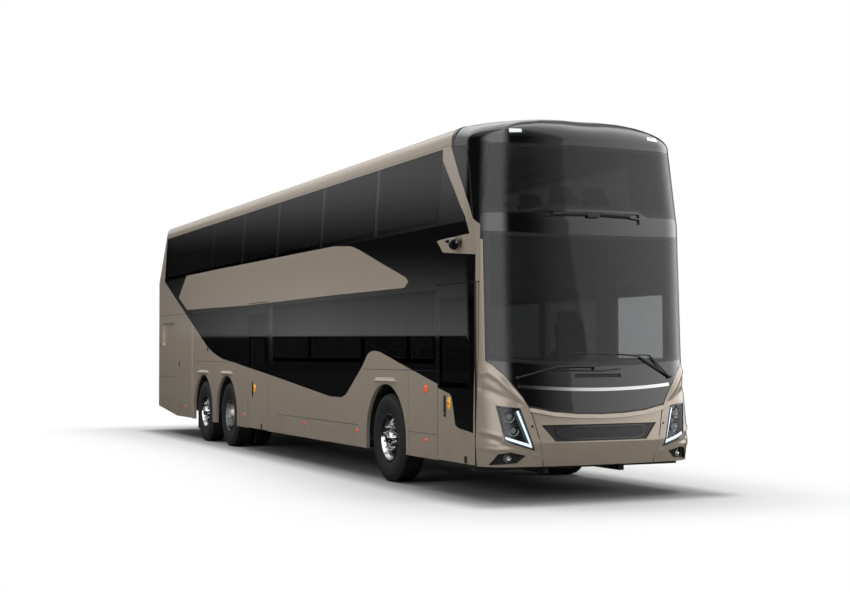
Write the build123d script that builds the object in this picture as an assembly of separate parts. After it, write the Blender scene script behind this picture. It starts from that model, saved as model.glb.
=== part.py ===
from build123d import *
import math
import os

# A three-axle double-decker coach, in millimetres.
# +X is forward, +Y is to the left of the driver and +Z is up, with the ground at z = 0.
# Stations along the coach are measured from the front axle.
# The finished pieces are moved so that the origin lies on the ground under the middle of the coach.

# Overall size
front_overhang = 2850
rear_overhang = 12050
width = 2550
height = 4000
skirt_z = 360
half = width / 2
origin_shift = (rear_overhang - front_overhang) / 2

# Axles and wheels
wheelbase = 6950
tag_spacing = 1490
tyre_radius = 520
tyre_width = 295
rim_radius = 285.7
tyre_gap = 0.3
single_track_y = 1100
twin_outer_y = 1085
twin_pitch = 330
kingpin_y = 1000
arch_radius = 625
arch_top = 1155
axle_stations = {"front": 0, "drive": -wheelbase, "tag": -wheelbase - tag_spacing}
steered_axles = ["front", "tag"]
sides = {"right": -1, "left": 1}

# Body shell
wall = 45
glass_depth = 10
front_bow_radius = 5400
front_corner_radius = 400
rear_corner_radius = 250
waist_z = 2900
eaves_z = 3750
side_lean = 57 / 800
rear_lean = 380 / 910
roof_crown = 50
cove_radius = 150
dome_radius = 280
front_zone_x = 2440
rear_zone_x = -rear_overhang + rear_corner_radius
cap_x = 1850
running_gap = 10
hinge_gap = 0.3
hinge_radius = running_gap / 2 - hinge_gap

# Floors
floor_thickness = 40
saloon_floor_z = 480
step_floor_z = 440
platform_z = 880
luggage_floor_z = 1260
upper_floor_z = 2330
bulkhead_x = -9120

# Glazing
upper_glass_x = (-11330, 1550)
upper_glass_z = (2930, 3735)
upper_joints = [-9855, -7981, -6113, -4299, -2345, -367]
lower_glass_z = (1400, 2215)
pillar = 110
glass_joint = 8

# Doors: rear edge, front edge, sill and header of each leaf
doors = {
    "front_door": (1515, 2430, 370, 2250),
    "mid_door": (-5700, -4690, 370, 2285),
}
door_arm_share = 0.46

# Front view heights
windscreen_sill_z = 1445
windscreen_sill_mid_z = 1378
band_low_z = 2776
band_low_mid_z = 2750
band_top_z = 2965
band_step_z = 3022
windscreen_top_z = 3700
windscreen_half = 1190
panel_low_z = 970
panel_low_mid_z = 887
panel_low_half = 800
chrome_z = 1120


def front_face_x(z):
    """Station of the front face on the centre line at a height."""
    stations = [(0, 2725), (600, 2850), (1420, 2740), (waist_z, 2690), (height, 2585)]
    for (z0, x0), (z1, x1) in zip(stations, stations[1:]):
        if z <= z1:
            return x0 + (x1 - x0) * (z - z0) / (z1 - z0)
    return stations[-1][1]


def rear_face_x(z):
    return -rear_overhang + max(0, z - waist_z) * rear_lean


def half_width(z):
    return half - max(0, z - waist_z) * side_lean


def plan_outline(z, inset):
    """Plan of the body at a height: a bowed front with tangent corners, straight sides and tail."""
    nose = front_face_x(z) - inset
    tail = rear_face_x(z) + inset
    side = half_width(z) - inset
    bow = front_bow_radius - inset
    corner = front_corner_radius - inset
    bow_centre = nose - bow
    corner_x = bow_centre + math.sqrt((bow - corner) ** 2 - (side - corner) ** 2)
    turn = math.atan2(side - corner, corner_x - bow_centre)
    front_end = (bow_centre + bow * math.cos(turn), bow * math.sin(turn))
    corner_mid_angle = (turn + math.pi / 2) / 2
    corner_mid = (corner_x + corner * math.cos(corner_mid_angle),
                  side - corner + corner * math.sin(corner_mid_angle))
    rear_corner = rear_corner_radius - inset
    rear_mid = rear_corner * (1 - math.sqrt(0.5))

    def flip(point):
        return (point[0], -point[1])

    left = [Line((tail + rear_corner, side), (corner_x, side)),
            ThreePointArc((corner_x, side), corner_mid, front_end)]
    front = ThreePointArc(front_end, (nose, 0), flip(front_end))
    right = [ThreePointArc(flip(front_end), flip(corner_mid), (corner_x, -side)),
             Line((corner_x, -side), (tail + rear_corner, -side))]
    rear = [ThreePointArc((tail + rear_corner, -side), (tail + rear_mid, -side + rear_mid),
                          (tail, -side + rear_corner)),
            Line((tail, -side + rear_corner), (tail, side - rear_corner)),
            ThreePointArc((tail, side - rear_corner), (tail + rear_mid, side - rear_mid),
                          (tail + rear_corner, side))]
    return Plane.XY.offset(z) * make_face(left + [front] + right + rear)


def plan_form(inset):
    """The body below its roof line, or the same form with every face moved in by inset."""
    levels = [0, 600, 1420, waist_z, height]
    return loft([plan_outline(z, inset) for z in levels], ruled=True)


def roofed_form(inset):
    """The body with its crowned roof, its coves and its domed ends."""
    form = plan_form(inset)
    top = height - inset
    edge_z = top - roof_crown
    edge_y = half_width(edge_z) - inset
    crown = make_face([
        Line((-half, -1), (half, -1)),
        Line((half, -1), (half, waist_z)),
        Line((half, waist_z), (edge_y, edge_z)),
        ThreePointArc((edge_y, edge_z), (0, top), (-edge_y, edge_z)),
        Line((-edge_y, edge_z), (-half, waist_z)),
        Line((-half, waist_z), (-half, -1))])
    coves = [v for v in crown.vertices() if v.Y > edge_z - 1]
    crown = fillet(coves, cove_radius)
    form &= extrude(Plane.YZ.offset(-rear_overhang - 10) * crown,
                    rear_overhang + front_overhang + 20)
    nose, tail = front_face_x(top) - inset, rear_face_x(top) + inset
    dome = make_face(Polyline((tail - 500, -1), (front_overhang + 50, -1),
                              (front_overhang + 50, waist_z), (nose, top), (tail, top),
                              (tail - 500, waist_z), close=True))
    ridge = [v for v in dome.vertices() if v.Y > top - 1]
    dome = fillet(ridge, dome_radius)
    form &= extrude(Plane.XZ.offset(-half - 10) * dome, width + 20)
    return form


def prism_xz(points, y0, y1):
    """A block with an outline in side view, from y0 to y1."""
    return extrude(Plane.XZ.offset(-y1) * make_face(Polyline(*points, close=True)), y1 - y0)


def prism_yz(edges, x0, x1):
    """A block with an outline in front view, from x0 to x1."""
    return extrude(Plane.YZ.offset(x0) * make_face(edges), x1 - x0)


def box(x0, x1, y0, y1, z0, z1):
    return Pos((x0 + x1) / 2, (y0 + y1) / 2, (z0 + z1) / 2) * Box(x1 - x0, y1 - y0, z1 - z0)


def rod(start, end, radius):
    """A round bar between two points."""
    start, end = Vector(*start), Vector(*end)
    along = end - start
    plane = Plane(origin=start, z_dir=along)
    return extrude(plane * Circle(radius), along.length)


def across(shape):
    """The same shape on both sides of the coach."""
    return [shape, mirror(shape, Plane.XZ)]


def joined(shapes):
    result = shapes[0]
    for shape in shapes[1:]:
        result += shape
    return result


def both_sides(x0, x1, z0, z1, depth):
    """Two blocks that reach into the sides from outside, to a depth."""
    return across(box(x0, x1, -half - 5, -half + depth, z0, z1))


def write(name, *shapes):
    """Export one piece, moved from the front axle's frame to the coach's own."""
    solids = [solid for shape in shapes for solid in shape.solids()]
    piece = Compound(children=[Pos(origin_shift, 0, 0) * solid for solid in solids])
    export_step(piece, f"parts/{name}.step")


# Outlines in front view, given by their half width and heights

def lower_windscreen_edges(side, low, low_mid, high, high_mid):
    return [ThreePointArc((-side, low), (0, low_mid), (side, low)),
            Line((side, low), (side, high)),
            ThreePointArc((side, high), (0, high_mid), (-side, high)),
            Line((-side, high), (-side, low))]


def band_top(side):
    """Upper edge of the band between the windscreens, with its raised middle."""
    return [(side, band_top_z), (700, band_top_z), (550, band_step_z),
            (-550, band_step_z), (-700, band_top_z), (-side, band_top_z)]


def upper_windscreen_edges(side, margin):
    top = [(y, z + margin) for y, z in band_top(side)]
    return [Polyline((-side, windscreen_top_z - margin), (side, windscreen_top_z - margin),
                     *top, (-side, windscreen_top_z - margin))]


def panel_edges():
    """Black panel below the windscreen, narrowing down to the bumper."""
    sill, low = windscreen_sill_z, panel_low_z
    return [ThreePointArc((-windscreen_half, sill), (0, windscreen_sill_mid_z),
                          (windscreen_half, sill)),
            ThreePointArc((windscreen_half, sill), (945, 1160), (panel_low_half, low)),
            ThreePointArc((panel_low_half, low), (0, panel_low_mid_z), (-panel_low_half, low)),
            ThreePointArc((-panel_low_half, low), (-945, 1160), (-windscreen_half, sill))]


bumper_seam = [(panel_low_half, panel_low_z), (720, 656), (642, 300)]
grille_corners = [(-690, 782), (690, 782), (545, 612), (-545, 612)]
headlamp_corners = [(1127, 980), (905, 951), (775, 535), (1070, 630)]
fog_corners = [(1190, 378), (1125, 492), (1021, 513), (850, 474), (935, 400)]


def arch_cut(station, radius, y0, y1, low=0):
    """Wheel arch: a half round on straight sides that drop to a level."""
    spring_z = arch_top - arch_radius
    rear, front = station - radius, station + radius
    outline = [Line((rear, low), (rear, spring_z)),
               ThreePointArc((rear, spring_z), (station, spring_z + radius), (front, spring_z)),
               Line((front, spring_z), (front, low)),
               Line((front, low), (rear, low))]
    return extrude(Plane.XZ.offset(-y1) * make_face(outline), y1 - y0)


# Shell pieces

outer = plan_form(0)
inner = plan_form(wall)
skin = outer - plan_form(glass_depth)
shell = outer - inner
roof_shell = roofed_form(0) - roofed_form(wall)

under_rear = prism_xz([(-9150, 0), (-9150, 330), (-10300, skirt_z), (-11800, 500),
                       (-12200, 690), (-12200, 0)], -half - 5, half + 5)
shell -= box(-rear_overhang - 5, front_overhang + 5, -half - 5, half + 5, -5, skirt_z)
shell -= under_rear

front_zone = box(front_zone_x, front_overhang + 5, -half - 5, half + 5, 0, eaves_z)
rear_outline = [(rear_zone_x, 0), (rear_zone_x, waist_z),
                (rear_zone_x + (eaves_z - waist_z) * rear_lean, eaves_z),
                (-rear_overhang - 5, eaves_z), (-rear_overhang - 5, 0)]
rear_zone = prism_xz(rear_outline, -half - 5, half + 5)
roof_zone = box(-rear_overhang - 5, front_overhang + 5, -half - 5, half + 5, eaves_z, height + 5)

front_shell = shell & front_zone
rear_shell = shell & rear_zone
roof_shell &= roof_zone
side_shell = shell - front_zone - rear_zone - roof_zone

# Roof and front cap
cap_zone = box(cap_x, front_overhang + 5, -half - 5, half + 5, eaves_z, height + 5)
roof_lamp_y, roof_lamp_z = (780, 940), (3795, 3850)
front_cap = roof_shell & cap_zone
roof_lamp_blocks = across(box(cap_x, front_overhang, *roof_lamp_y, *roof_lamp_z))
roof_lamps = [front_cap & block for block in roof_lamp_blocks]
write("front_cap", front_cap - joined(roof_lamp_blocks))
hatch_stations, hatch_half, groove_width, groove_floor = (-2600, -8300), 340, 8, height - 12
roof = roof_shell - cap_zone
for x in hatch_stations:
    outer_block = box(x - hatch_half, x + hatch_half, -hatch_half, hatch_half, groove_floor, height)
    inner_half = hatch_half - groove_width
    roof -= outer_block - box(x - inner_half, x + inner_half, -inner_half, inner_half,
                              groove_floor, height)
write("roof", roof)

# Side walls and their glazing
stations = [upper_glass_x[0], *upper_joints, upper_glass_x[1]]
upper_panes = list(zip(stations, stations[1:]))
lower_panes = {"right": [(-4620, -2760), (-2760, -740), (-740, 690), (690, 1450)],
               "left": [(-5780, -4200), (-4200, -2600), (-2600, -740), (-740, 690), (1050, 2150)]}

arches = joined([arch_cut(x, arch_radius, -half - 5, half + 5) for x in axle_stations.values()])
flap = (-9104, -7430, 1385, 2240)
service_door = (-10315, -9215, 365, 2240)

# Panel seams of the sides: rear end, front end, bottom and top; a line has no width of its own
seam_width, seam_depth = 6, 4
seam_lines = [
    (-730, 1500, 1325, 1325),
    (700, 700, skirt_z, 1325),
    (700, 1500, 630, 630),
    (-4200, -900, 630, 630),
    (-2755, -2755, skirt_z, 630),
    (-7430, -6150, 1380, 1380),
    (-7690, -7690, 330, 1380),
    (-6150, -6150, skirt_z, 1380),
    (-11790, -10325, 2245, 2245),
    (-11790, -10325, 1080, 1080),
]
seams = []
for x0, x1, z0, z1 in seam_lines:
    grow = seam_width / 2
    seams += both_sides(x0 - grow, x1 + grow, z0 - grow, z1 + grow, seam_depth)

# Air intake: a shallow recess with rounded corners near the tail
intake_x, intake_z, intake_depth, intake_corner = (-11540, -10570), (1680, 2100), 30, 45
intake = both_sides(*intake_x, *intake_z, intake_depth)
intake = [fillet(block.edges().filter_by(Axis.Y), intake_corner) for block in intake]

# Ledge above each wheel arch, with a sloping top that fades out to both ends
ledge_low, ledge_lip, ledge_high, ledge_proud = 1172, 1190, 1252, 22
ledge_half, ledge_foot_half, ledge_seat = 240, 360, 10


def arch_ledge(station):
    profile = Polyline((-half + ledge_seat, ledge_low), (-half - ledge_proud, ledge_lip),
                       (-half + ledge_seat, ledge_high), close=True)
    ledge = prism_yz(profile, station - ledge_foot_half, station + ledge_foot_half)
    outline = [(station - ledge_foot_half, ledge_low), (station - ledge_half, ledge_high),
               (station + ledge_half, ledge_high), (station + ledge_foot_half, ledge_low)]
    return ledge & prism_xz(outline, -half - ledge_proud, -half + ledge_seat)


ledges = [ledge for x in axle_stations.values() for ledge in across(arch_ledge(x))]


def pane_block(pane, z_span, side, margin):
    y0, y1 = sorted((side * 700, side * (half + 5)))
    return box(pane[0] + margin, pane[1] - margin, y0, y1, z_span[0] + margin, z_span[1] - margin)


def lid_block(lid, side, gap):
    x0, x1, z0, z1 = lid
    y0, y1 = sorted((side * 700, side * (half + 5)))
    return box(x0 - gap, x1 + gap, y0, y1, z0 - gap, z1 + gap)


def lid_hinge(lid_name, lid, side):
    """Round hinge bead along the outer edge that the lid turns about."""
    x0, x1, z0, z1 = lid
    start = (x0, side * half, z1) if lid_name == "luggage_flap" else (x1, side * half, z0)
    return rod(start, (x1, side * half, z1), hinge_radius)


def lid_handle(x, z, side, size, proud):
    """Plain upright pull on the face of a lid or door."""
    w, h = size
    y0, y1 = sorted((side * (half - handle_seat), side * (half + proud)))
    return box(x - w / 2, x + w / 2, y0, y1, z - h / 2, z + h / 2)


handle_seat, handle_size, handle_proud = 5, (34, 90), 8
lid_handles = {"luggage_flap": (-8123, 1600), "service_door": (-10150, 1331)}

lids = {}
for name, side in sides.items():
    half_box = box(-13000, 3000, min(0, side * half * 2), max(0, side * half * 2), 0, 4100)
    side_wall = (side_shell & half_box) - arches
    glazing = []
    groups = [(upper_panes, upper_glass_z), (lower_panes[name], lower_glass_z)]
    for panes, z_span in groups:
        for pane in panes:
            glass = skin & pane_block(pane, z_span, side, glass_joint / 2)
            glazing.append(glass)
            side_wall -= skin & pane_block(pane, z_span, side, glass_joint / 2)
            side_wall -= pane_block(pane, z_span, side, pillar / 2)
    side_wall = side_wall - joined(seams) - joined(intake)
    for lid_name, lid in (("luggage_flap", flap), ("service_door", service_door)):
        handle = lid_handle(*lid_handles[lid_name], side, handle_size, handle_proud)
        panel = side_wall & lid_block(lid, side, 0)
        lids[f"{lid_name}_{name}"] = panel + lid_hinge(lid_name, lid, side) + handle
        side_wall -= lid_block(lid, side, running_gap / 2)
    if name == "right":
        for door, (x0, x1, z0, z1) in doors.items():
            leaf_block = box(x0, x1, -half - 5, -700, z0, z1)
            lids[door] = side_wall & leaf_block
            side_wall -= box(x0 - running_gap, x1 + running_gap, -half - 5, -700,
                             0, z1 + running_gap)
    for ledge in ledges:
        if ledge.center().Y * side > 0:
            side_wall += ledge
    write(f"side_wall_{name}", side_wall)
    write(f"side_glass_{name}", *glazing)

for name in sides:
    write(f"luggage_flap_{name}", lids[f"luggage_flap_{name}"])
    write(f"service_door_{name}", lids[f"service_door_{name}"])

# Tail: wall, upper window, louvred engine lid and upright lamps
rear_glass_half, rear_glass_z = 1010, (3010, 3620)
engine_lid_half, engine_lid_z = 880, (760, 1900)
louvres, louvre_low_z, louvre_pitch, louvre_half = 9, 1300, 60, 620
tail_lamp_y = (1060, 1210)
tail_lamp_z = [(1320, 1480), (1500, 1660), (1680, 1840)]
tail_depth = (-rear_overhang - 5, -10800)


def tail_block(y_half, z_span, margin_y, margin_z):
    return box(*tail_depth, margin_y - y_half, y_half - margin_y,
               z_span[0] + margin_z, z_span[1] - margin_z)


rear_skin = skin & rear_zone
rear_glass = rear_skin & tail_block(rear_glass_half, rear_glass_z, 0, 0)
rear_wall = rear_shell - rear_glass
rear_wall -= tail_block(rear_glass_half, rear_glass_z, pillar, pillar / 2)
write("rear_glass", rear_glass)

engine_lid = rear_wall & tail_block(engine_lid_half, engine_lid_z, running_gap / 2, running_gap / 2)
for row in range(louvres):
    low = louvre_low_z + row * louvre_pitch
    engine_lid -= box(-rear_overhang - 5, -rear_overhang + 25, -louvre_half, louvre_half,
                      low, low + louvre_pitch / 2)
lid_hinge_z = engine_lid_z[1] - running_gap / 2
lid_edge_y = engine_lid_half - running_gap / 2
engine_lid += rod((-rear_overhang, -lid_edge_y, lid_hinge_z),
                  (-rear_overhang, lid_edge_y, lid_hinge_z), hinge_radius)
write("engine_lid", engine_lid)
rear_wall -= tail_block(engine_lid_half, engine_lid_z, 0, 0)

tail_lamps = []
for low, high in tail_lamp_z:
    for block in across(box(*tail_depth, *tail_lamp_y, low, high)):
        tail_lamps.append(rear_wall & block)
        rear_wall -= block
write("tail_lamps", *tail_lamps)
write("rear_wall", rear_wall)

# Nose: windscreens, the band between them, pillars, black panel, bumper and corners
nose_x = (front_zone_x - 5, front_overhang + 5)
lower_block = prism_yz(lower_windscreen_edges(windscreen_half, windscreen_sill_z,
                                              windscreen_sill_mid_z, band_low_z, band_low_mid_z),
                       *nose_x)
lower_hole = prism_yz(lower_windscreen_edges(windscreen_half - pillar / 2,
                                             windscreen_sill_z + 40, windscreen_sill_mid_z + 40,
                                             band_low_z - 40, band_low_mid_z - 40), *nose_x)
upper_block = prism_yz(upper_windscreen_edges(windscreen_half, 0), *nose_x)
upper_hole = prism_yz(upper_windscreen_edges(windscreen_half - pillar / 2, 40), *nose_x)
panel_block = prism_yz(panel_edges(), *nose_x)

front_skin = skin & front_zone
windscreen_lower = front_skin & lower_block
windscreen_upper = front_skin & upper_block
write("windscreens", windscreen_lower, windscreen_upper)

wiper_slot_half, wiper_slot_z, wiper_slot_depth = 585, (2878, 2990), 25
slot_block = box(*nose_x, -wiper_slot_half, wiper_slot_half, *wiper_slot_z)
side_edge = half + 5
sill_block = prism_yz([Polyline((windscreen_half, windscreen_sill_z), (side_edge, windscreen_sill_z),
                                (side_edge, 0), (-side_edge, 0), (-side_edge, windscreen_sill_z),
                                (-windscreen_half, windscreen_sill_z)),
                       ThreePointArc((-windscreen_half, windscreen_sill_z),
                                     (0, windscreen_sill_mid_z),
                                     (windscreen_half, windscreen_sill_z))], *nose_x)
front_frame = front_shell - panel_block - sill_block
front_frame = front_frame - windscreen_lower - windscreen_upper - lower_hole - upper_hole
front_frame -= (outer - plan_form(wiper_slot_depth)) & slot_block
pillar_top_z = 2695
pillar_block = box(*nose_x, windscreen_half, half + 5, windscreen_sill_z, pillar_top_z)
front_pillars = [front_frame & block for block in across(pillar_block)]
for block in across(pillar_block):
    front_frame -= block
write("front_frame", front_frame)

panel_slot_half, panel_slot_z, panel_slot_depth = 275, (1260, 1298), 20
panel_slot = box(*nose_x, -panel_slot_half, panel_slot_half, *panel_slot_z)
front_panel = (front_shell & panel_block) - (panel_slot - plan_form(panel_slot_depth))
write("front_panel", front_panel)

low_shell = (front_shell & sill_block) - panel_block
bumper_points = bumper_seam + [(-y, z) for y, z in reversed(bumper_seam)]
bumper_block = prism_yz(Polyline(*bumper_points, close=True), *nose_x)
grille_block = prism_yz(Polyline(*grille_corners, close=True), *nose_x)
bumper = low_shell & (bumper_block - panel_block)
corner_shell = low_shell - bumper_block
write("bumper_centre", bumper - grille_block)
grille_recess = 20
fog_block = prism_yz(Polyline(*fog_corners, close=True), *nose_x)
fog_recess, fog_lamp_radius, fog_lamp_centre, fog_lamp_x = 30, 44, (1030, 448), (2640, 2700)
fog_lamp = rod(*[(x, *fog_lamp_centre) for x in fog_lamp_x], fog_lamp_radius)
fog_hole = rod(*[(x, *fog_lamp_centre) for x in nose_x], fog_lamp_radius + hinge_gap)
fog_plate = ((plan_form(fog_recess) - inner) & fog_block) - fog_hole
write("lower_grille", (plan_form(grille_recess) - inner) & grille_block, *across(fog_plate))

lamp_depth = 85
lamp_form = plan_form(4) - plan_form(lamp_depth)
lamp_block = prism_yz(Polyline(*headlamp_corners, close=True), *nose_x)
corner_shell = corner_shell - joined(across(lamp_block)) - joined(across(fog_block))
write("front_corners", joined([corner_shell, *front_pillars]))
lamps = [lamp_form & block for block in across(lamp_block)]
write("headlamps", *lamps, *across(fog_lamp), *roof_lamps)

strip_half, strip_rise, strip_depth, strip_proud = 905, 42, 34, 6


def strip_arc(z):
    return ThreePointArc((-strip_half, z + strip_rise), (0, z), (strip_half, z + strip_rise))


strip_edges = [strip_arc(chrome_z),
               Line((strip_half, chrome_z + strip_rise),
                    (strip_half, chrome_z + strip_rise + strip_depth)),
               strip_arc(chrome_z + strip_depth),
               Line((-strip_half, chrome_z + strip_rise),
                    (-strip_half, chrome_z + strip_rise + strip_depth))]
strip_block = prism_yz(strip_edges, *nose_x)
write("bright_strip", (plan_form(-strip_proud) - outer) & strip_block)

# Wipers: points across the nose, with a height and a stand-off from the bowed face.
# A straight run between two points comes nearer to the bow by its span squared over 8 radii.
arm_radius, blade_radius, pivot_radius, knuckle_swell = 9, 7, 16, 1.5
longest_span, face_slope, pivot_slope = 320, 1.01, 0.31
blade_off = face_slope * (blade_radius + hinge_gap + longest_span ** 2 / (8 * front_bow_radius))
arm_off = blade_off + (arm_radius + blade_radius) * 0.8
pivot_off = hinge_gap + pivot_radius * pivot_slope
wiper_lines = [
    (pivot_radius, [(-915, 1266, pivot_off), (-915, 1266, arm_off + arm_radius)]),
    (arm_radius, [(-915, 1266, arm_off), (-690, 1322, arm_off), (-472, 1370, arm_off),
                  (-265, 1374, arm_off), (-59, 1372, arm_off), (-59, 1332, blade_off)]),
    (blade_radius, [(-530, 1342, blade_off), (-250, 1336, blade_off), (38, 1330, blade_off),
                    (272, 1350, blade_off)]),
    (pivot_radius, [(915, 1258, pivot_off), (915, 1258, arm_off + arm_radius)]),
    (arm_radius, [(915, 1258, arm_off), (705, 1372, arm_off), (501, 1481, arm_off),
                  (248, 1502, blade_off)]),
    (arm_radius, [(915, 1258, arm_off), (780, 1374, arm_off), (651, 1489, blade_off)]),
    (blade_radius, [(651, 1489, blade_off), (340, 1498, blade_off), (20, 1506, blade_off),
                    (-283, 1515, blade_off)]),
]


def nose_point(y, z, stand_off):
    """A point in front of the bowed nose."""
    bow = front_bow_radius + stand_off
    return (front_face_x(z) - front_bow_radius + math.sqrt(bow ** 2 - y ** 2), y, z)


wipers = {-1: [], 1: []}
for radius, points in wiper_lines:
    path = [nose_point(*point) for point in points]
    driver_side = 1 if points[0][0] > 0 else -1
    wipers[driver_side] += [rod(a, b, radius) for a, b in zip(path, path[1:])]
    wipers[driver_side] += [Pos(*point) * Sphere(radius + knuckle_swell) for point in path[1:-1]]
write("wipers", *[joined(pieces) for pieces in wipers.values()])

# Side markers
marker_stations = [-9672, -5901, -2988, -943, 1196]
marker_z, marker_size, marker_proud = 560, (62, 36), 8
markers = []
for x in marker_stations:
    w, h = marker_size
    block = box(x - w / 2, x + w / 2, -half - marker_proud, -half, marker_z - h / 2, marker_z + h / 2)
    markers += across(block)
indicator = box(1150, 1250, -half - marker_proud, -half, 1085, 1165)
markers += across(indicator)
write("marker_lamps", *markers)

# Camera pods that take the place of mirrors
pod_outline = [(1930, 2680), (2010, 2602), (2090, 2602), (2165, 2690), (2150, 2738),
               (1990, 2745), (1930, 2718)]
pod_reach = 95
pod = prism_xz(pod_outline, -half - pod_reach, -half)
pod = fillet([e for e in pod.edges() if e.center().Y < -half - pod_reach + 1], 18)
write("camera_pods", *across(pod))

# Floors: rear edge, front edge and top of each level, from the front door step to the boot
levels = [
    (1160, 2400, step_floor_z),
    (-780, 1160, platform_z),
    (-6150, -780, saloon_floor_z),
    (bulkhead_x, -6150, luggage_floor_z),
]
front_end = levels[0][1]


def stepped_plate(rows, depth, y0, y1, thickness):
    """Plates at several heights, joined by upright risers at their ends."""
    plates = [box(x0, x1, y0, y1, z - depth, z) for x0, x1, z in rows]
    for (x0, _, z), (_, x1, next_z) in zip(rows, rows[1:]):
        low, high = sorted((z, next_z))
        plates.append(box(x0 - thickness / 2, x0 + thickness / 2, y0, y1, low - depth, high))
    return joined(plates)


lower_floor = stepped_plate(levels, floor_thickness, -half, half, floor_thickness)
lower_floor += box(bulkhead_x - floor_thickness, bulkhead_x, -half, half,
                   luggage_floor_z - floor_thickness,
                   upper_floor_z - floor_thickness)
podium_y = -330
lower_floor += box(levels[1][1], front_end, podium_y, half, platform_z - floor_thickness, platform_z)
lower_floor += box(levels[1][1], front_end, podium_y, podium_y + 20, step_floor_z, platform_z)
upper_floor = box(-rear_overhang, 2150, -half, half, upper_floor_z - floor_thickness, upper_floor_z)
upper_floor += prism_xz([(2150, upper_floor_z - floor_thickness), (2150, upper_floor_z),
                         (2560, 2750), (2700, 2750), (2700, 2710), (2580, 2710)], -half, half)
stair_x, stair_y = (-5560, -3960), (420, 1120)
upper_floor -= box(stair_x[0] - 60, stair_x[1] - 60, *stair_y, 2000, 2500)
door_notches = [box(x0 - running_gap, x1 + running_gap, -half, -half + wall + running_gap, z0,
                    z1 + running_gap) for x0, x1, z0, z1 in doors.values()]
well_radius, well_depth = arch_radius + 15, 5
wells = joined([arch_cut(0, well_radius, *span)
                for span in ((-half, -590), (590, half))])
lower_floor = (lower_floor & inner) - wells - joined(door_notches)
upper_floor = (upper_floor & inner) - joined(door_notches)
write("upper_floor", upper_floor)

# Stairs to the upper deck, beside the middle door
risers = 7
rise = (upper_floor_z - saloon_floor_z) / risers
going = (stair_x[1] - stair_x[0]) / risers
tread_points = []
for step in range(risers):
    x = stair_x[1] - step * going
    tread_points += [(x, saloon_floor_z + (step + 1) * rise), (x - going, saloon_floor_z + (step + 1) * rise)]
stairs = prism_xz([(stair_x[1], saloon_floor_z), *tread_points[:-2],
                   (stair_x[0] + going, upper_floor_z - rise - 250),
                   (stair_x[1] - going - 60, saloon_floor_z)], *stair_y)
write("lower_floor", lower_floor + stairs)

# Wheel arch liners and mud flaps
liners = []
for axle, x in axle_stations.items():
    inner_y = 600 if axle in steered_axles else 590
    liner = arch_cut(x, well_radius, -half + wall, -inner_y, 500)
    liner -= arch_cut(x, well_radius - well_depth, -half, -inner_y + 1, 0)
    liners += across(liner)
flap_x = axle_stations["tag"] - well_radius
mud_flap = box(flap_x - 10, flap_x, -1235 + wall, -940, 190, 500)
mud_flap += box(flap_x - 10, flap_x, -half + wall, -940, 500, 700)
liners[-2:] = [liner + mud for liner, mud in zip(liners[-2:], across(mud_flap))]
write("wheel_arch_liners", *liners)

# Chassis rails follow the undersides of the floors
rail_y, rail_width, rail_depth = 430, 60, 140
rail_levels = [(x0, x1, z - floor_thickness) for x0, x1, z in levels]
rail_levels[0] = (levels[0][0], 2450, levels[0][2] - floor_thickness)
rail_levels[-1] = (-11900, levels[-1][1], luggage_floor_z - floor_thickness)
riser_width, riser_gap = 80, floor_thickness / 2


def stepped_rail(rows, depth, y0, y1):
    """Rails at several heights, with each riser clear of the floor's own, on its high side."""
    pieces = []
    for index, (x0, x1, z) in enumerate(rows):
        ahead = rows[index - 1][2] if index else z
        behind = rows[index + 1][2] if index + 1 < len(rows) else z
        reach = riser_gap + riser_width
        front = x1 - riser_gap if z > ahead else x1 + (reach if z < ahead else 0)
        rear = x0 + riser_gap if z > behind else x0 - (reach if z < behind else 0)
        pieces.append(box(rear, front, y0, y1, z - depth, z))
        if z > ahead:
            pieces.append(box(x1 - reach, x1 - riser_gap, y0, y1, ahead - depth, z))
        if z > behind:
            pieces.append(box(x0 + riser_gap, x0 + reach, y0, y1, behind - depth, z))
    return joined(pieces)


rails = across(stepped_rail(rail_levels, rail_depth, -rail_y - rail_width, -rail_y))
cross_members = [(2300, 400), (900, 840), (-1000, 440), (-2600, 440), (-4300, 440), (-5900, 440),
                 (-7695, 1220), (-9300, 1220), (-11750, 1220)]
member_width, member_depth = 80, 100
frame = joined(rails)
for x, z in cross_members:
    frame += box(x - member_width / 2, x + member_width / 2, -half, half, z - member_depth, z)
frame &= inner
write("chassis_frame", frame)

# Engine, as one plain block hung between the rails
engine = box(-11450, -9950, -rail_y, rail_y, 470, luggage_floor_z - floor_thickness)
write("engine_block", engine)

# Axle beams, with an eye at each end for the kingpin
hub_z = tyre_radius
kingpin_radius, eye_radius, eye_height, bush = 20, 45, 100, 0.3
spindle_radius = 35
beam_half = [(0, 380), (620, 380), (820, 480), (960, 480), (960, 560), (800, 560), (600, 460), (0, 460)]
beam_width = 110
spring_y = rail_y + rail_width / 2
axles = []
for name in steered_axles:
    x = axle_stations[name]
    half_beam = prism_yz(Polyline(*beam_half, close=True), x - beam_width / 2, x + beam_width / 2)
    beam = joined(across(half_beam))
    for y in (-kingpin_y, kingpin_y):
        beam += Pos(x, y, hub_z) * Cylinder(eye_radius, eye_height)
        beam += box(x - 30, x + 30, min(0.95 * y, y), max(0.95 * y, y), hub_z - 40, hub_z + 40)
        beam -= Pos(x, y, hub_z) * Cylinder(kingpin_radius + bush, 2 * eye_height)
    axles.append(beam)

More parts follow.
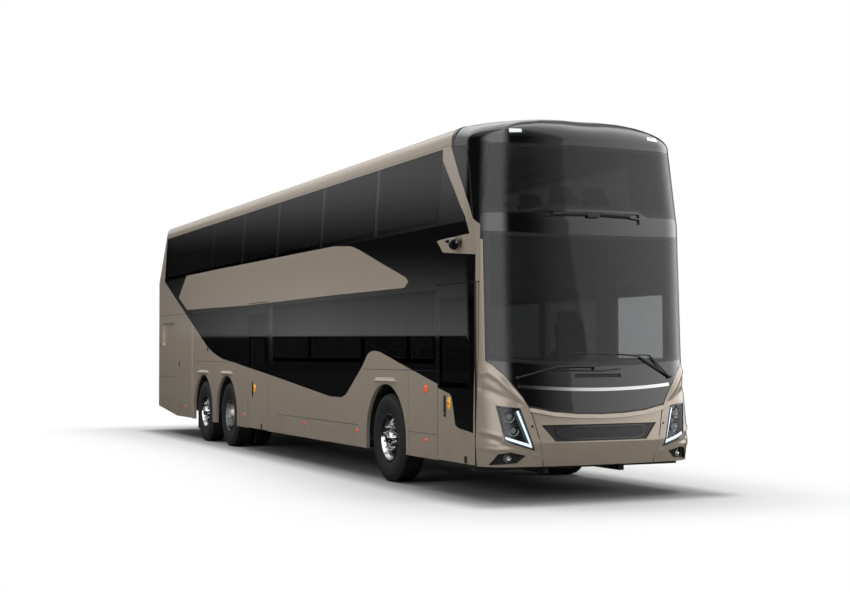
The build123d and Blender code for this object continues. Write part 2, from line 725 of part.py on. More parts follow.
x = axle_stations["drive"]
twin_centre_y = twin_outer_y - twin_pitch / 2
drive_spindle_radius, drive_spindle_y = 60, twin_centre_y + 55
drive_axle = rod((x, -drive_spindle_y, hub_z), (x, drive_spindle_y, hub_z), drive_spindle_radius)
drive_axle += rod((x, -560, hub_z), (x, 560, hub_z), 95)
drive_axle += Pos(x, 0, hub_z) * Sphere(190)
for y in (-spring_y, spring_y):
    drive_axle += box(x - 110, x + 110, y - 90, y + 90, hub_z, 640)
write("axles", *axles, drive_axle)

spring_radius = 105
spring_seats = {"front": (460, platform_z), "drive": (640, luggage_floor_z),
                "tag": (460, luggage_floor_z)}
springs = []
for name, (seat_z, floor_z) in spring_seats.items():
    top = floor_z - floor_thickness - rail_depth
    spring = Pos(axle_stations[name], spring_y, (seat_z + top) / 2) * Cylinder(spring_radius, top - seat_z)
    springs += across(spring)
write("air_springs", *springs)

# Steering knuckles: two ears on a kingpin, and the spindle that the wheel turns on
ear_height, yoke_y = 34, kingpin_y + eye_radius + 6
spindle_y = single_track_y + 125
for name in steered_axles:
    x = axle_stations[name]
    for side_name, side in sides.items():
        y = side * kingpin_y
        pin_half = eye_height / 2 + hinge_gap + ear_height
        knuckle = Pos(x, y, hub_z) * Cylinder(kingpin_radius, 2 * pin_half)
        for up in (-1, 1):
            ear_z = hub_z + up * (eye_height / 2 + hinge_gap + ear_height / 2)
            knuckle += Pos(x, y, ear_z) * Cylinder(eye_radius, ear_height)
            knuckle += box(x - eye_radius, x + eye_radius, *sorted((y, side * yoke_y)),
                           ear_z - ear_height / 2, ear_z + ear_height / 2)
        knuckle += box(x - eye_radius, x + eye_radius, *sorted((side * yoke_y, side * (yoke_y + 30))),
                       hub_z - pin_half, hub_z + pin_half)
        knuckle += rod((x, side * (yoke_y + 20), hub_z), (x, side * spindle_y, hub_z), spindle_radius)
        write(f"knuckle_{name}_{side_name}", knuckle)

# Wheels: half sections as radius and distance outwards from the tyre's middle
tyre_bore, tyre_half = rim_radius + tyre_gap, tyre_width / 2
tyre_section = [(tyre_bore, -120), (400, -tyre_half), (500, -130), (tyre_radius, -105),
                (tyre_radius, 105), (500, 130), (400, tyre_half), (tyre_bore, 120)]
rim_front = [(35.3, 70), (35.3, 130), (0, 130), (0, 150), (78, 150), (92, 108), (165, 104),
             (238, 78), (258, 122), (rim_radius, 126), (rim_radius, 104), (268, 98), (268, -98),
             (rim_radius, -104), (rim_radius, -126), (252, -122), (252, 40), (150, 74)]
rim_twin = [(110, -149), (170, -149), (238, -80), (252, 122), (rim_radius, 126), (rim_radius, 104),
            (268, 98), (268, -98), (rim_radius, -104), (rim_radius, -126), (262, -124), (250, -90),
            (175, -164.9), (110, -164.9)]
hub_twin = [(60.3, -60), (60.3, 70), (0, 70), (0, 185), (70, 185), (90, 130), (115, 110),
            (115, -60)]
hand_holes, hand_hole_radius, hand_hole_circle = 10, 26, 205


def turned(section, station, side, middle_y):
    """A section turned about a wheel's axis, with its outside away from the coach's middle."""
    face = make_face(Polyline(*[(r, side * (middle_y + w)) for r, w in section], close=True))
    ring = revolve(face, Axis.Y)
    return Pos(station, 0, hub_z) * ring


for name, x in axle_stations.items():
    for side_name, side in sides.items():
        if name in steered_axles:
            tyres = [turned(tyre_section, x, side, single_track_y)]
            rim = turned(rim_front, x, side, single_track_y)
            for hole in range(hand_holes):
                angle = math.radians(360 * hole / hand_holes)
                px = x + hand_hole_circle * math.cos(angle)
                pz = hub_z + hand_hole_circle * math.sin(angle)
                rim -= rod((px, side * (single_track_y + 20), pz),
                           (px, side * (single_track_y + 115), pz), hand_hole_radius)
        else:
            twins = (twin_outer_y, twin_outer_y - twin_pitch)
            tyres = [turned(tyre_section, x, side, y) for y in twins]
            mirrored = [(r, -w) for r, w in rim_twin]
            rim = turned(rim_twin, x, side, twins[0]) + turned(mirrored, x, side, twins[1])
            rim += turned(hub_twin, x, side, twin_centre_y)
        write(f"tyre_{name}_{side_name}", *tyres)
        write(f"rim_{name}_{side_name}", rim)

# Passenger doors: a cranked arm on an upright post carries each leaf on brackets
post_radius, post_inset, pivot_y, leaf_pin_y = 18, 55, -1160, -1135
arm_levels, arm_depth, arm_width = (650, 2175), 30, 44
boss_radius, pin_radius, pin_gap = 25, 10, 0.3
bracket_plate, bracket_half, bracket_y = 12, 28, -1166
door_glass_margin, door_glass_z = 55, (1150, 2110)
door_handles, door_handle_size = {"front_door": (1704, 973), "mid_door": (-5440, 985)}, (40, 180)
for name, (x0, x1, z0, z1) in doors.items():
    pivot_x = x1 - post_inset
    pin_x = pivot_x - door_arm_share * (x1 - x0)
    knee = (pivot_x - 56, pivot_y + 118)
    arm = Pos(pivot_x, pivot_y, 0) * extrude(Circle(post_radius), upper_floor_z)
    arm &= box(x0, x1, -half, 0, step_floor_z + hinge_gap if name == "front_door"
               else saloon_floor_z + hinge_gap, upper_floor_z - floor_thickness - hinge_gap)
    leaf = lids[name]
    for level in arm_levels:
        for start, end in (((pivot_x, pivot_y), knee), (knee, (pin_x, leaf_pin_y))):
            run = Vector(end[0] - start[0], end[1] - start[1], 0)
            plane = Plane(origin=(*start, level - arm_depth / 2), x_dir=run, z_dir=(0, 0, 1))
            bar = extrude(plane * Pos(run.length / 2, 0) * Rectangle(run.length, arm_width), arm_depth)
            arm += bar + Pos(*start, level) * Cylinder(boss_radius, arm_depth)
        arm += Pos(pin_x, leaf_pin_y, level) * Cylinder(boss_radius, arm_depth)
        arm -= Pos(pin_x, leaf_pin_y, level) * Cylinder(pin_radius + pin_gap, 2 * arm_depth)
        plate_low = arm_depth / 2 + pin_gap
        for up in (-1, 1):
            low, high = sorted((level + up * plate_low, level + up * (plate_low + bracket_plate)))
            leaf += Pos(pin_x, leaf_pin_y, (low + high) / 2) * Cylinder(bracket_half, bracket_plate)
            leaf += box(pin_x - bracket_half, pin_x + bracket_half, -half + wall, leaf_pin_y, low, high)
        leaf += Pos(pin_x, leaf_pin_y, level) * Cylinder(pin_radius, 2 * (plate_low + bracket_plate))
        leaf += box(pin_x - bracket_half, pin_x + bracket_half, -half + wall - 2, bracket_y,
                    level - plate_low - bracket_plate, level + plate_low + bracket_plate)
    glass_block = box(x0 + door_glass_margin, x1 - door_glass_margin, -half - 5, -1000, *door_glass_z)
    hole_block = box(x0 + pillar, x1 - pillar, -half - 5, -1000,
                     door_glass_z[0] + door_glass_margin, door_glass_z[1] - door_glass_margin)
    glass = skin & glass_block
    leaf = leaf - glass + lid_handle(*door_handles[name], -1, door_handle_size, handle_proud)
    leaf -= hole_block
    write(f"{name}_arm", arm)
    write(f"{name}_leaf", leaf)
    write(f"{name}_glass", glass)

# Driver's place and seats
dash_points = [(2000, platform_z), (2000, 1200), (2130, 1330), (2420, 1360), (2600, 1300),
               (2620, platform_z)]
dashboard = prism_xz(dash_points, podium_y, half) & plan_form(lamp_depth + 10)
write("dashboard", dashboard)
wheel_centre, wheel_tilt = (1830, 640, 1330), 30
wheel_radius, wheel_tube = 230, 15
tilt = Plane(origin=wheel_centre, z_dir=(-math.sin(math.radians(wheel_tilt)), 0,
                                         math.cos(math.radians(wheel_tilt))))
corners = 24
rim_points = [(wheel_radius * math.cos(turn), wheel_radius * math.sin(turn), 0)
              for turn in (math.tau * i / corners for i in range(corners + 1))]
steering_wheel = joined([tilt * rod(a, b, wheel_tube) for a, b in zip(rim_points, rim_points[1:])])
for turn in (0, 120, 240):
    steering_wheel += tilt * (Rot(0, 0, turn) * Pos(wheel_radius / 2, 0, 0) * Box(wheel_radius, 40, 14))
steering_wheel += tilt * Cylinder(60, 40)
column_end = (wheel_centre[0] + 300, wheel_centre[1], wheel_centre[2] - 300)
steering_wheel += rod(wheel_centre, column_end, 32)
steering_wheel -= dashboard
write("steering_wheel", *steering_wheel.solids()[:1])

seat_outline = [(110, 0), (110, 330), (-120, 380), (-190, 1130), (-110, 1150), (-20, 480), (460, 500),
                (470, 400), (260, 370), (250, 0)]
seat_pitch, seat_span = 800, (330, 1190)


def seat_row(x, floor_z, y0, y1):
    return prism_xz([(x + dx, floor_z + dz) for dx, dz in seat_outline], y0, y1)


lower_seats = [seat_row(1230, platform_z, 420, 860)]
lower_seats += [seat_row(-1750 - row * seat_pitch, saloon_floor_z, -1190, -330) for row in range(4)]
lower_seats += [seat_row(-1750 - row * seat_pitch, saloon_floor_z, 330, 1190) for row in range(3)]
upper_rows = 15
upper_seats = []
for row in range(upper_rows):
    x = 1350 - row * seat_pitch
    upper_seats.append(seat_row(x, upper_floor_z, -1150, -290))
    if not stair_x[0] - 800 < x < stair_x[1] + 100:
        upper_seats.append(seat_row(x, upper_floor_z, 290, 1150))
write("seats", *lower_seats, *upper_seats)
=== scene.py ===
import math

import bpy
from mathutils import Matrix, Vector


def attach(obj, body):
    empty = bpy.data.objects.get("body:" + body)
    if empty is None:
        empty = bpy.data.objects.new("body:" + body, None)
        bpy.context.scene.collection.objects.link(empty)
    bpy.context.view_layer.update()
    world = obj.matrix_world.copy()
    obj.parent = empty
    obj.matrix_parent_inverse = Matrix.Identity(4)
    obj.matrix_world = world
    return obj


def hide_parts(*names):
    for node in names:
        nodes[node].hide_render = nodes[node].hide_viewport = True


# A double-decker coach dressed for a studio photograph, in metres.
# +X is forward, +Y is the driver's left and +Z is up. Stations are measured from the front axle.

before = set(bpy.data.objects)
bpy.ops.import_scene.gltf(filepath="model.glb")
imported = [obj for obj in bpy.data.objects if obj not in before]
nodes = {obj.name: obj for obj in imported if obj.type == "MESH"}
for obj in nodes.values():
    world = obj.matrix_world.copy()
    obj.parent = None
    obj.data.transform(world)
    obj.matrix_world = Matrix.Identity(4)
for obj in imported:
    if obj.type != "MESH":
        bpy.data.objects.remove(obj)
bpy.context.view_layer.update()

AXLE_X = 4.6
HALF = 1.275
WAIST_Z = 2.9
SIDE_LEAN = 0.057 / 0.8
SIDES = {"right": -1, "left": 1}


def station(x):
    """Place along the coach of a station measured from the front axle."""
    return x + AXLE_X


# Camera, at the photograph's viewing angle

CAMERA_PLACE = (19.906, -7.475, 1.532)
CAMERA_YAW = 2.728
CAMERA_PITCH = 0.0402
CAMERA_ROLL = -0.0034
CAMERA_LENS = 58.87


def add_camera():
    """The camera from its place and its three turns: heading, rise and roll."""
    ahead = Vector((math.cos(CAMERA_YAW) * math.cos(CAMERA_PITCH),
                    math.sin(CAMERA_YAW) * math.cos(CAMERA_PITCH), math.sin(CAMERA_PITCH)))
    right = ahead.cross(Vector((0, 0, 1))).normalized()
    up = right.cross(ahead)
    cos, sin = math.cos(CAMERA_ROLL), math.sin(CAMERA_ROLL)
    rolled_right = right * cos + up * sin
    rolled_up = up * cos - right * sin
    data = bpy.data.cameras.new("camera")
    data.lens = CAMERA_LENS
    data.sensor_width = 36
    data.clip_end = 400
    camera = bpy.data.objects.new("camera", data)
    turn = Matrix((rolled_right, rolled_up, -ahead)).transposed()
    camera.matrix_world = Matrix.Translation(CAMERA_PLACE) @ turn.to_4x4()
    bpy.context.scene.collection.objects.link(camera)
    bpy.context.scene.camera = camera


# Node trees, written as sums of values

class Value:
    """A socket of a node tree that can be added, multiplied and compared."""

    def __init__(self, tree, socket):
        self.tree = tree
        self.socket = socket

    def math(self, operation, *inputs):
        node = add_node(self.tree, "ShaderNodeMath", operation=operation)
        for socket, value in zip(node.inputs, inputs):
            feed(socket, value)
        return Value(self.tree, node.outputs[0])

    def __add__(self, other):
        return self.math("ADD", self, other)

    def __sub__(self, other):
        return self.math("SUBTRACT", self, other)

    def __rsub__(self, other):
        return self.math("SUBTRACT", other, self)

    def __mul__(self, other):
        return self.math("MULTIPLY", self, other)

    def __truediv__(self, other):
        return self.math("DIVIDE", self, other)

    def __abs__(self):
        return self.math("ABSOLUTE", self)

    def larger(self, other):
        return self.math("MAXIMUM", self, other)

    def clamped(self):
        """The same value held between nought and one."""
        self.socket.node.use_clamp = True
        return self


def add_node(tree, kind, **settings):
    node = tree.nodes.new(kind)
    for name, value in settings.items():
        setattr(node, name, value)
    return node


def feed(socket, value):
    """Gives a socket a number, a colour or another socket's value."""
    if isinstance(value, Value):
        value.tree.links.new(value.socket, socket)
    elif isinstance(value, tuple) and socket.type == "RGBA":
        socket.default_value = (*value, 1)
    else:
        socket.default_value = value


def remap(value, low, high, to_low=0.0, to_high=1.0, smooth=True):
    """A value's range turned into another, eased at both ends unless smooth is off."""
    node = add_node(value.tree, "ShaderNodeMapRange",
                    interpolation_type="SMOOTHSTEP" if smooth else "LINEAR")
    for name, number in (("Value", value), ("From Min", low), ("From Max", high),
                         ("To Min", to_low), ("To Max", to_high)):
        feed(node.inputs[name], number)
    return Value(value.tree, node.outputs["Result"])


def blend(share, first, second):
    """A mix of two colours, given as values or as colours."""
    node = add_node(share.tree, "ShaderNodeMix", data_type="RGBA")
    feed(node.inputs["Factor"], share)
    for name, value in (("A", first), ("B", second)):
        feed([s for s in node.inputs if s.name == name and s.type == "RGBA"][0], value)
    return Value(share.tree, [s for s in node.outputs if s.type == "RGBA"][0])


def parted(tree, output):
    """The x, y and z of a coordinate output."""
    split = add_node(tree, "ShaderNodeSeparateXYZ")
    tree.links.new(output, split.inputs[0])
    return [Value(tree, socket) for socket in split.outputs]


def object_place(tree):
    """The x, y and z of a point of the piece."""
    return parted(tree, add_node(tree, "ShaderNodeTexCoord").outputs["Object"])


def texture(tree, kind, **settings):
    """The value of a texture laid on the piece's own coordinates."""
    node = add_node(tree, kind)
    tree.links.new(add_node(tree, "ShaderNodeTexCoord").outputs["Object"], node.inputs["Vector"])
    for name, value in settings.items():
        feed(node.inputs[name], value)
    return Value(tree, node.outputs["Fac"])


def light_path(tree):
    """The light path's outputs by their names."""
    node = add_node(tree, "ShaderNodeLightPath")
    return {socket.name: Value(tree, socket) for socket in node.outputs}


def new_group(name, inputs, outputs):
    """A node group of numbers: its tree, the values given to it, and the node of its results."""
    group = bpy.data.node_groups.new(name, "ShaderNodeTree")
    for title, value in inputs.items():
        socket = group.interface.new_socket(title, in_out="INPUT", socket_type="NodeSocketFloat")
        socket.default_value = value
    for title in outputs:
        group.interface.new_socket(title, in_out="OUTPUT", socket_type="NodeSocketFloat")
    given = group.nodes.new("NodeGroupInput")
    result = group.nodes.new("NodeGroupOutput")
    return group, [Value(group, given.outputs[title]) for title in inputs], result


def place_group(tree, group, **values):
    """The results of a group placed in a tree."""
    node = add_node(tree, "ShaderNodeGroup", node_tree=group)
    for title, value in values.items():
        feed(node.inputs[title], value)
    return [Value(tree, socket) for socket in node.outputs]


# Shared effects

COARSE_SHARE = 0.07


def make_grain_group():
    """Fine and coarse unevenness: a tint about one, and a height for a bump."""
    group, (scale, depth), result = new_group("uneven_surface", {"Scale": 40.0, "Depth": 0.1},
                                              ["Tint", "Height"])
    fine = texture(group, "ShaderNodeTexNoise", Scale=scale, Detail=4)
    coarse = texture(group, "ShaderNodeTexNoise", Scale=scale * COARSE_SHARE, Detail=2)
    feed(result.inputs["Tint"], (fine + coarse - 1.0) * depth + 1.0)
    feed(result.inputs["Height"], fine)
    return group


def make_low_shade_group():
    """Painted shade low on the body, in patches: a mask from the height above the ground."""
    group, (top, amount), result = new_group("painted_low_shade", {"Top": 1.4, "Amount": 0.3}, ["Mask"])
    low = (1.0 - object_place(group)[2] / top).clamped()
    patches = texture(group, "ShaderNodeTexNoise", Scale=3, Detail=6)
    feed(result.inputs["Mask"], low * patches * amount)
    return group


# Livery: heights of the colour edges at stations from the front axle

BODY_EDGE = [(-12.1, 4.0), (-11.43, 4.0), (-11.37, 2.905), (-8.957, 1.946), (-8.15, 1.629),
             (-7.729, 1.519), (-7.191, 1.426), (-6.5, 1.372), (-5.696, 1.297), (-4.736, 1.214),
             (-1.933, 0.954), (-1.517, 0.951), (-1.333, 0.994), (-0.801, 1.328),
             (-0.562, 1.509), (-0.346, 1.545), (-0.135, 1.527), (0.771, 1.335), (1.496, 1.186),
             (2.4, 1.0)]
DOOR_EDGE = [(1.4, 1.205), (1.54, 1.137), (1.82, 1.085), (1.871, 1.053), (1.963, 0.761),
             (2.03, 0.732), (2.417, 0.695), (2.44, 0.69)]
SWOOSH_TOP = [(-10.242, 2.555), (-9.64, 2.942), (-1.93, 2.915), (-1.711, 2.911),
              (-1.146, 2.871), (-0.833, 2.80), (-0.275, 2.639), (0.636, 2.385), (0.703, 2.338)]
SWOOSH_BOTTOM = [(-10.242, 2.555), (-9.585, 2.31), (-5.735, 2.271), (-1.93, 2.278),
                 (0.597, 2.269), (0.703, 2.338)]
# Ribbon beside the upper windscreen: stations of its two edges at heights
RIBBON_REAR = [(2.53, 2.44), (2.54, 2.383), (2.602, 1.667), (2.735, 1.51), (2.745, 1.6),
               (2.758, 2.313), (2.939, 2.231), (3.085, 2.075), (3.242, 1.928), (3.443, 1.728),
               (3.62, 1.56), (3.745, 1.55)]
RIBBON_FRONT = [(2.53, 2.60), (2.70, 2.566), (2.80, 2.50), (2.911, 2.36), (3.064, 2.283),
                (3.234, 2.156), (3.41, 2.007), (3.587, 1.877), (3.745, 1.76)]
EDGE_SPAN = (-12.1, 2.4)
DOOR_SPAN = (1.4, 2.44)
RIBBON_SPAN = (2.53, 3.745)
FULL_RANGE = (0.0, 4.0)
RIBBON_RANGE = (1.4, 2.7)
DOOR_START = 1.5125
PILLAR_START, PILLAR_TOP = 2.396, 2.70
CAP_SLOPE, CAP_START = -0.7, 4.38
PAINT_EDGE = 0.004
GLASS_TOP = 3.742


def curve_of(along, span, points, reach):
    """An edge's place, from the place along it and the (along, place) points it runs through."""
    (start, end), (low, high) = span, reach
    node = add_node(along.tree, "ShaderNodeFloatCurve")
    curve = node.mapping.curves[0]
    for index, (at, value) in enumerate(points):
        spot = ((at - start) / (end - start), (value - low) / (high - low))
        if index < 2:
            curve.points[index].location = spot
        else:
            curve.points.new(*spot)
    for point in curve.points:
        point.handle_type = "VECTOR"
    node.mapping.update()
    feed(node.inputs["Value"], ((along - start) / (end - start)).clamped())
    return Value(along.tree, node.outputs["Value"]) * (high - low) + low


def beyond(value, edge):
    """One where value is past edge, with a soft change over the paint's edge."""
    return remap(value - edge, -PAINT_EDGE / 2, PAINT_EDGE / 2)


def make_livery_group():
    """Where the body colour lies: below the body edge, in the swoosh, the ribbon and the roof."""
    group, _, result = new_group("coach_livery", {}, ["Body colour"])
    x, _, height = object_place(group)
    along = x - AXLE_X
    body = curve_of(along, EDGE_SPAN, BODY_EDGE, FULL_RANGE)
    door = curve_of(along, DOOR_SPAN, DOOR_EDGE, FULL_RANGE)
    at_door = beyond(along, DOOR_START)
    lower = (1.0 - beyond(height, body)) * (1.0 - at_door) + (1.0 - beyond(height, door)) * at_door
    swoosh = (beyond(height, curve_of(along, EDGE_SPAN, SWOOSH_BOTTOM, FULL_RANGE))
              * beyond(curve_of(along, EDGE_SPAN, SWOOSH_TOP, FULL_RANGE), height)
              * beyond(along, SWOOSH_TOP[0][0]) * beyond(SWOOSH_TOP[-1][0], along))
    ribbon = (beyond(along, curve_of(height, RIBBON_SPAN, RIBBON_REAR, RIBBON_RANGE))
              * beyond(curve_of(height, RIBBON_SPAN, RIBBON_FRONT, RIBBON_RANGE), along)
              * beyond(height, RIBBON_SPAN[0]))
    pillar = beyond(along, PILLAR_START) * beyond(PILLAR_TOP, height)
    roof = beyond(height, GLASS_TOP) * beyond(height * CAP_SLOPE + CAP_START, along)
    feed(result.inputs["Body colour"],
         lower.larger(swoosh).larger(ribbon).larger(pillar).larger(roof))
    return group


# Materials

CHAMPAGNE = (0.355, 0.303, 0.243)
PAINT_METALLIC = 0.32
PAINT_ROUGH, BLACK_ROUGH, LOW_SHADE_ROUGH = 0.34, 0.04, 0.6
PAINT_COAT, BLACK_COAT = 0.8, 0.25
GLOSS_BLACK = (0.004, 0.004, 0.0045)
# Dark brown that the paint darkens towards low on the body, as painted shade
LOW_SHADE_COLOUR = (0.10, 0.088, 0.072)
SIDE_GLASS, DRIVER_GLASS = (0.035, 0.0355, 0.036), (0.52, 0.53, 0.53)
DRIVER_PANE_START, DRIVER_PANE_TOP = 1.0, 2.4
grain = make_grain_group()
# A mask of painted shade low on the body
painted_low_shade = make_low_shade_group()
livery = make_livery_group()


def new_material(name):
    material = bpy.data.materials.new(name)
    material.use_nodes = True
    return material, material.node_tree, material.node_tree.nodes["Principled BSDF"]


def set_shader(shader, **values):
    for name, value in values.items():
        feed(shader.inputs[name.replace("_", " ")], value)


def tinted(tree, colour, scale, depth):
    """A colour made slightly uneven, and the height of the unevenness."""
    tint, height = place_group(tree, grain, Scale=scale, Depth=depth)
    mix = add_node(tree, "ShaderNodeVectorMath", operation="SCALE")
    feed(mix.inputs[0], colour)
    feed(mix.inputs["Scale"], tint)
    return Value(tree, mix.outputs[0]), height


def bump(shader, height, strength, distance):
    node = add_node(height.tree, "ShaderNodeBump")
    for name, value in (("Strength", strength), ("Distance", distance), ("Height", height)):
        feed(node.inputs[name], value)
    feed(shader.inputs["Normal"], Value(height.tree, node.outputs["Normal"]))


def paint_material(name, mask_group=None):
    """Clear-coated metallic body paint, parted from gloss black by a mask if one is given."""
    material, tree, shader = new_material(name)
    colour, _ = tinted(tree, CHAMPAGNE, 900.0, 0.14)
    # Painted shade low on the body: the paint darkens in patches towards a dark brown near the
    # ground, and without a mask it is also rougher there
    low_shade, = place_group(tree, painted_low_shade, Top=1.5, Amount=0.5)
    shaded_low = blend(low_shade, colour, LOW_SHADE_COLOUR)
    set_shader(shader, Coat_Weight=PAINT_COAT, Coat_Roughness=0.03, Coat_IOR=1.5)
    if mask_group:
        mask, = place_group(tree, mask_group)
        set_shader(shader, Base_Color=blend(mask, GLOSS_BLACK, shaded_low),
                   Metallic=mask * PAINT_METALLIC,
                   Roughness=remap(mask, 0, 1, BLACK_ROUGH, PAINT_ROUGH, smooth=False),
                   Coat_Weight=remap(mask, 0, 1, BLACK_COAT, PAINT_COAT, smooth=False))
    else:
        set_shader(shader, Base_Color=shaded_low, Metallic=PAINT_METALLIC,
                   Roughness=remap(low_shade, 0, 1, PAINT_ROUGH, LOW_SHADE_ROUGH, smooth=False))
    return material


def plain_material(name, colour, roughness, depth=0.1, scale=60.0, coat=0.0, metallic=0.0,
                   bump_strength=0.0):
    """A plain finish with an uneven tint and roughness."""
    material, tree, shader = new_material(name)
    base, height = tinted(tree, colour, scale, depth)
    rough = remap(height, 0.3, 0.7, roughness * 0.85, roughness * 1.15, smooth=False)
    set_shader(shader, Base_Color=base, Roughness=rough, Metallic=metallic, Coat_Weight=coat,
               Coat_Roughness=0.03)
    if bump_strength:
        bump(shader, height, bump_strength, 0.0005)
    return material


def clear_material(name, colour, **looks):
    """Glass, or a thin clear moulding that lets light straight through and keeps a gloss."""
    material, tree, shader = new_material(name)
    base, _ = tinted(tree, colour, 2.0, 0.04)
    set_shader(shader, Base_Color=base, **looks)
    return material


def side_glass_material():
    """Dark privacy glass, with a lighter pane beside the driver."""
    material, tree, shader = new_material("tinted_glass")
    x, y, z = object_place(tree)
    driver = (beyond(x, station(DRIVER_PANE_START)) * beyond(DRIVER_PANE_TOP, z)
              * beyond(y, 0.0))
    set_shader(shader, Base_Color=blend(driver, SIDE_GLASS, DRIVER_GLASS),
               Transmission_Weight=1.0, Roughness=0.0, IOR=1.5)
    return material


def lamp_material(name, colour, strength):
    """Coloured lamp plastic with moulded ribs and a little light of its own."""
    material, tree, shader = new_material(name)
    base, height = tinted(tree, colour, 220.0, 0.25)
    set_shader(shader, Base_Color=base, Emission_Color=base, Emission_Strength=strength,
               Roughness=0.15, Coat_Weight=1.0, Coat_Roughness=0.02)
    bump(shader, height, 0.3, 0.001)
    return material


def woven_material(name, first, second, pitch):
    """Seat cloth: crossing threads in two tones, with a raised weave."""
    material, tree, shader = new_material(name)
    threads = []
    for direction in ("X", "Z"):
        wave = texture(tree, "ShaderNodeTexWave", Scale=1 / pitch, Distortion=0.4)
        wave.socket.node.bands_direction = direction
        threads.append(wave)
    weave = threads[0] * threads[1]
    set_shader(shader, Base_Color=blend(weave, first, second), Roughness=0.85, Sheen_Weight=0.3,
               Sheen_Roughness=0.5)
    bump(shader, weave, 0.4, 0.001)
    return material


PLAIN_FINISHES = {
    "black_gloss": dict(colour=GLOSS_BLACK, roughness=0.05, coat=1.0),
    "bright_metal": dict(colour=(0.66, 0.66, 0.655), roughness=0.15, metallic=1.0),
    "alloy": dict(colour=(0.72, 0.72, 0.71), roughness=0.17, metallic=1.0, scale=90.0),
    "tyre_rubber": dict(colour=(0.013, 0.013, 0.0135), roughness=0.62, depth=0.3, scale=160.0,
                        bump_strength=0.25),
    "chassis_black": dict(colour=(0.018, 0.018, 0.018), roughness=0.6, depth=0.3, scale=30.0,
                          bump_strength=0.2),
    "axle_iron": dict(colour=(0.06, 0.058, 0.055), roughness=0.55, depth=0.4, scale=50.0,
                      metallic=0.4, bump_strength=0.3),
    "spring_rubber": dict(colour=(0.02, 0.02, 0.02), roughness=0.7, depth=0.2, scale=120.0,
                          bump_strength=0.2),
    "black_plastic": dict(colour=(0.014, 0.014, 0.015), roughness=0.38, depth=0.2, scale=400.0,
                          bump_strength=0.3),
    "cabin_grey": dict(colour=(0.16, 0.16, 0.165), roughness=0.6, depth=0.12, scale=300.0,
                       bump_strength=0.3),
    "floor_grey": dict(colour=(0.09, 0.09, 0.095), roughness=0.7, depth=0.3),
    "lamp_clear": dict(colour=(0.5, 0.52, 0.55), roughness=0.08, coat=1.0),
    "printed_band": dict(colour=(0.010, 0.010, 0.011), roughness=0.08, coat=0.45),
    "lamp_black": dict(colour=(0.012, 0.012, 0.013), roughness=0.22, coat=0.6, scale=200.0),
    "tap_yellow": dict(colour=(0.80, 0.43, 0.01), roughness=0.3, coat=0.5, scale=90.0),
}
LAMP_FINISHES = {
    "daylight": ((0.70, 0.86, 1.0), 1.3),
    "roof_lamp": ((0.62, 0.66, 0.68), 0.25),
    "lamp_red": ((0.60, 0.012, 0.008), 0.25),
    "lamp_amber": ((0.72, 0.115, 0.035), 0.10),
}
MOULDING = {"Roughness": 0.03, "Coat_Weight": 1.0, "Coat_Roughness": 0.02}
FINISHES = {name: plain_material(name, **looks) for name, looks in PLAIN_FINISHES.items()}
FINISHES.update({name: lamp_material(name, *looks) for name, looks in LAMP_FINISHES.items()})
FINISHES.update({
    "body_paint": paint_material("livery_paint", livery),
    "champagne": paint_material("champagne_paint"),
    "tinted_glass": side_glass_material(),
    "windscreen_glass": clear_material("windscreen_glass", (0.33, 0.34, 0.345),
                                       Transmission_Weight=1.0, Roughness=0.0, IOR=1.45),
    "seat_fabric": woven_material("seat_fabric", (0.10, 0.10, 0.11), (0.19, 0.19, 0.20), 0.006),
    "lens_glass": clear_material("lens_glass", (0.55, 0.60, 0.63), Alpha=0.35, **MOULDING),
    "cover_glass": clear_material("cover_glass", (0.02, 0.02, 0.022), Alpha=0.14, **MOULDING),
})


def dress_frame():
    """Each CAD node takes the finish of its own material slot."""
    for node in nodes.values():
        finish = FINISHES[node.data.materials[0].name.split(".")[0]]
        for slot in node.material_slots:
            slot.link = "OBJECT"
            slot.material = finish


# Shapes: the nose as a surface that flat outlines are laid on

FRONT_STATIONS = [(0.0, 2.725), (0.6, 2.85), (1.42, 2.74), (2.9, 2.69), (4.0, 2.585)]
BOW_RADIUS = 5.4
CORNER_RADIUS = 0.4


def between(table, at):
    """A value read from a table of (place, value) pairs, straight between its rows."""
    for (low, first), (high, second) in zip(table, table[1:]):
        if at <= high:
            share = max(0.0, (at - low) / (high - low))
            return first + (second - first) * share
    return table[-1][1]


def side_reach(z):
    return HALF - max(0.0, z - WAIST_Z) * SIDE_LEAN


def corner_start(z):
    """Angle where the bow turns into the corner, and the corner's centre."""
    side = side_reach(z)
    run = math.sqrt((BOW_RADIUS - CORNER_RADIUS) ** 2 - (side - CORNER_RADIUS) ** 2)
    angle = math.atan2(side - CORNER_RADIUS, run)
    return angle, between(FRONT_STATIONS, z) - BOW_RADIUS + run, side - CORNER_RADIUS


def nose_length(y, z):
    """Length along the nose from its middle to a distance across."""
    angle, _, centre_y = corner_start(z)
    if y <= BOW_RADIUS * math.sin(angle):
        return BOW_RADIUS * math.asin(y / BOW_RADIUS)
    turned = math.asin(min(1.0, (y - centre_y) / CORNER_RADIUS))
    return BOW_RADIUS * angle + CORNER_RADIUS * (turned - angle)


def corner_length(x, z):
    """Length along the nose from its middle to a station on the corner."""
    angle, centre_x, _ = corner_start(z)
    turned = math.acos(max(-1.0, min(1.0, (x - centre_x) / CORNER_RADIUS)))
    return BOW_RADIUS * angle + CORNER_RADIUS * (turned - angle)


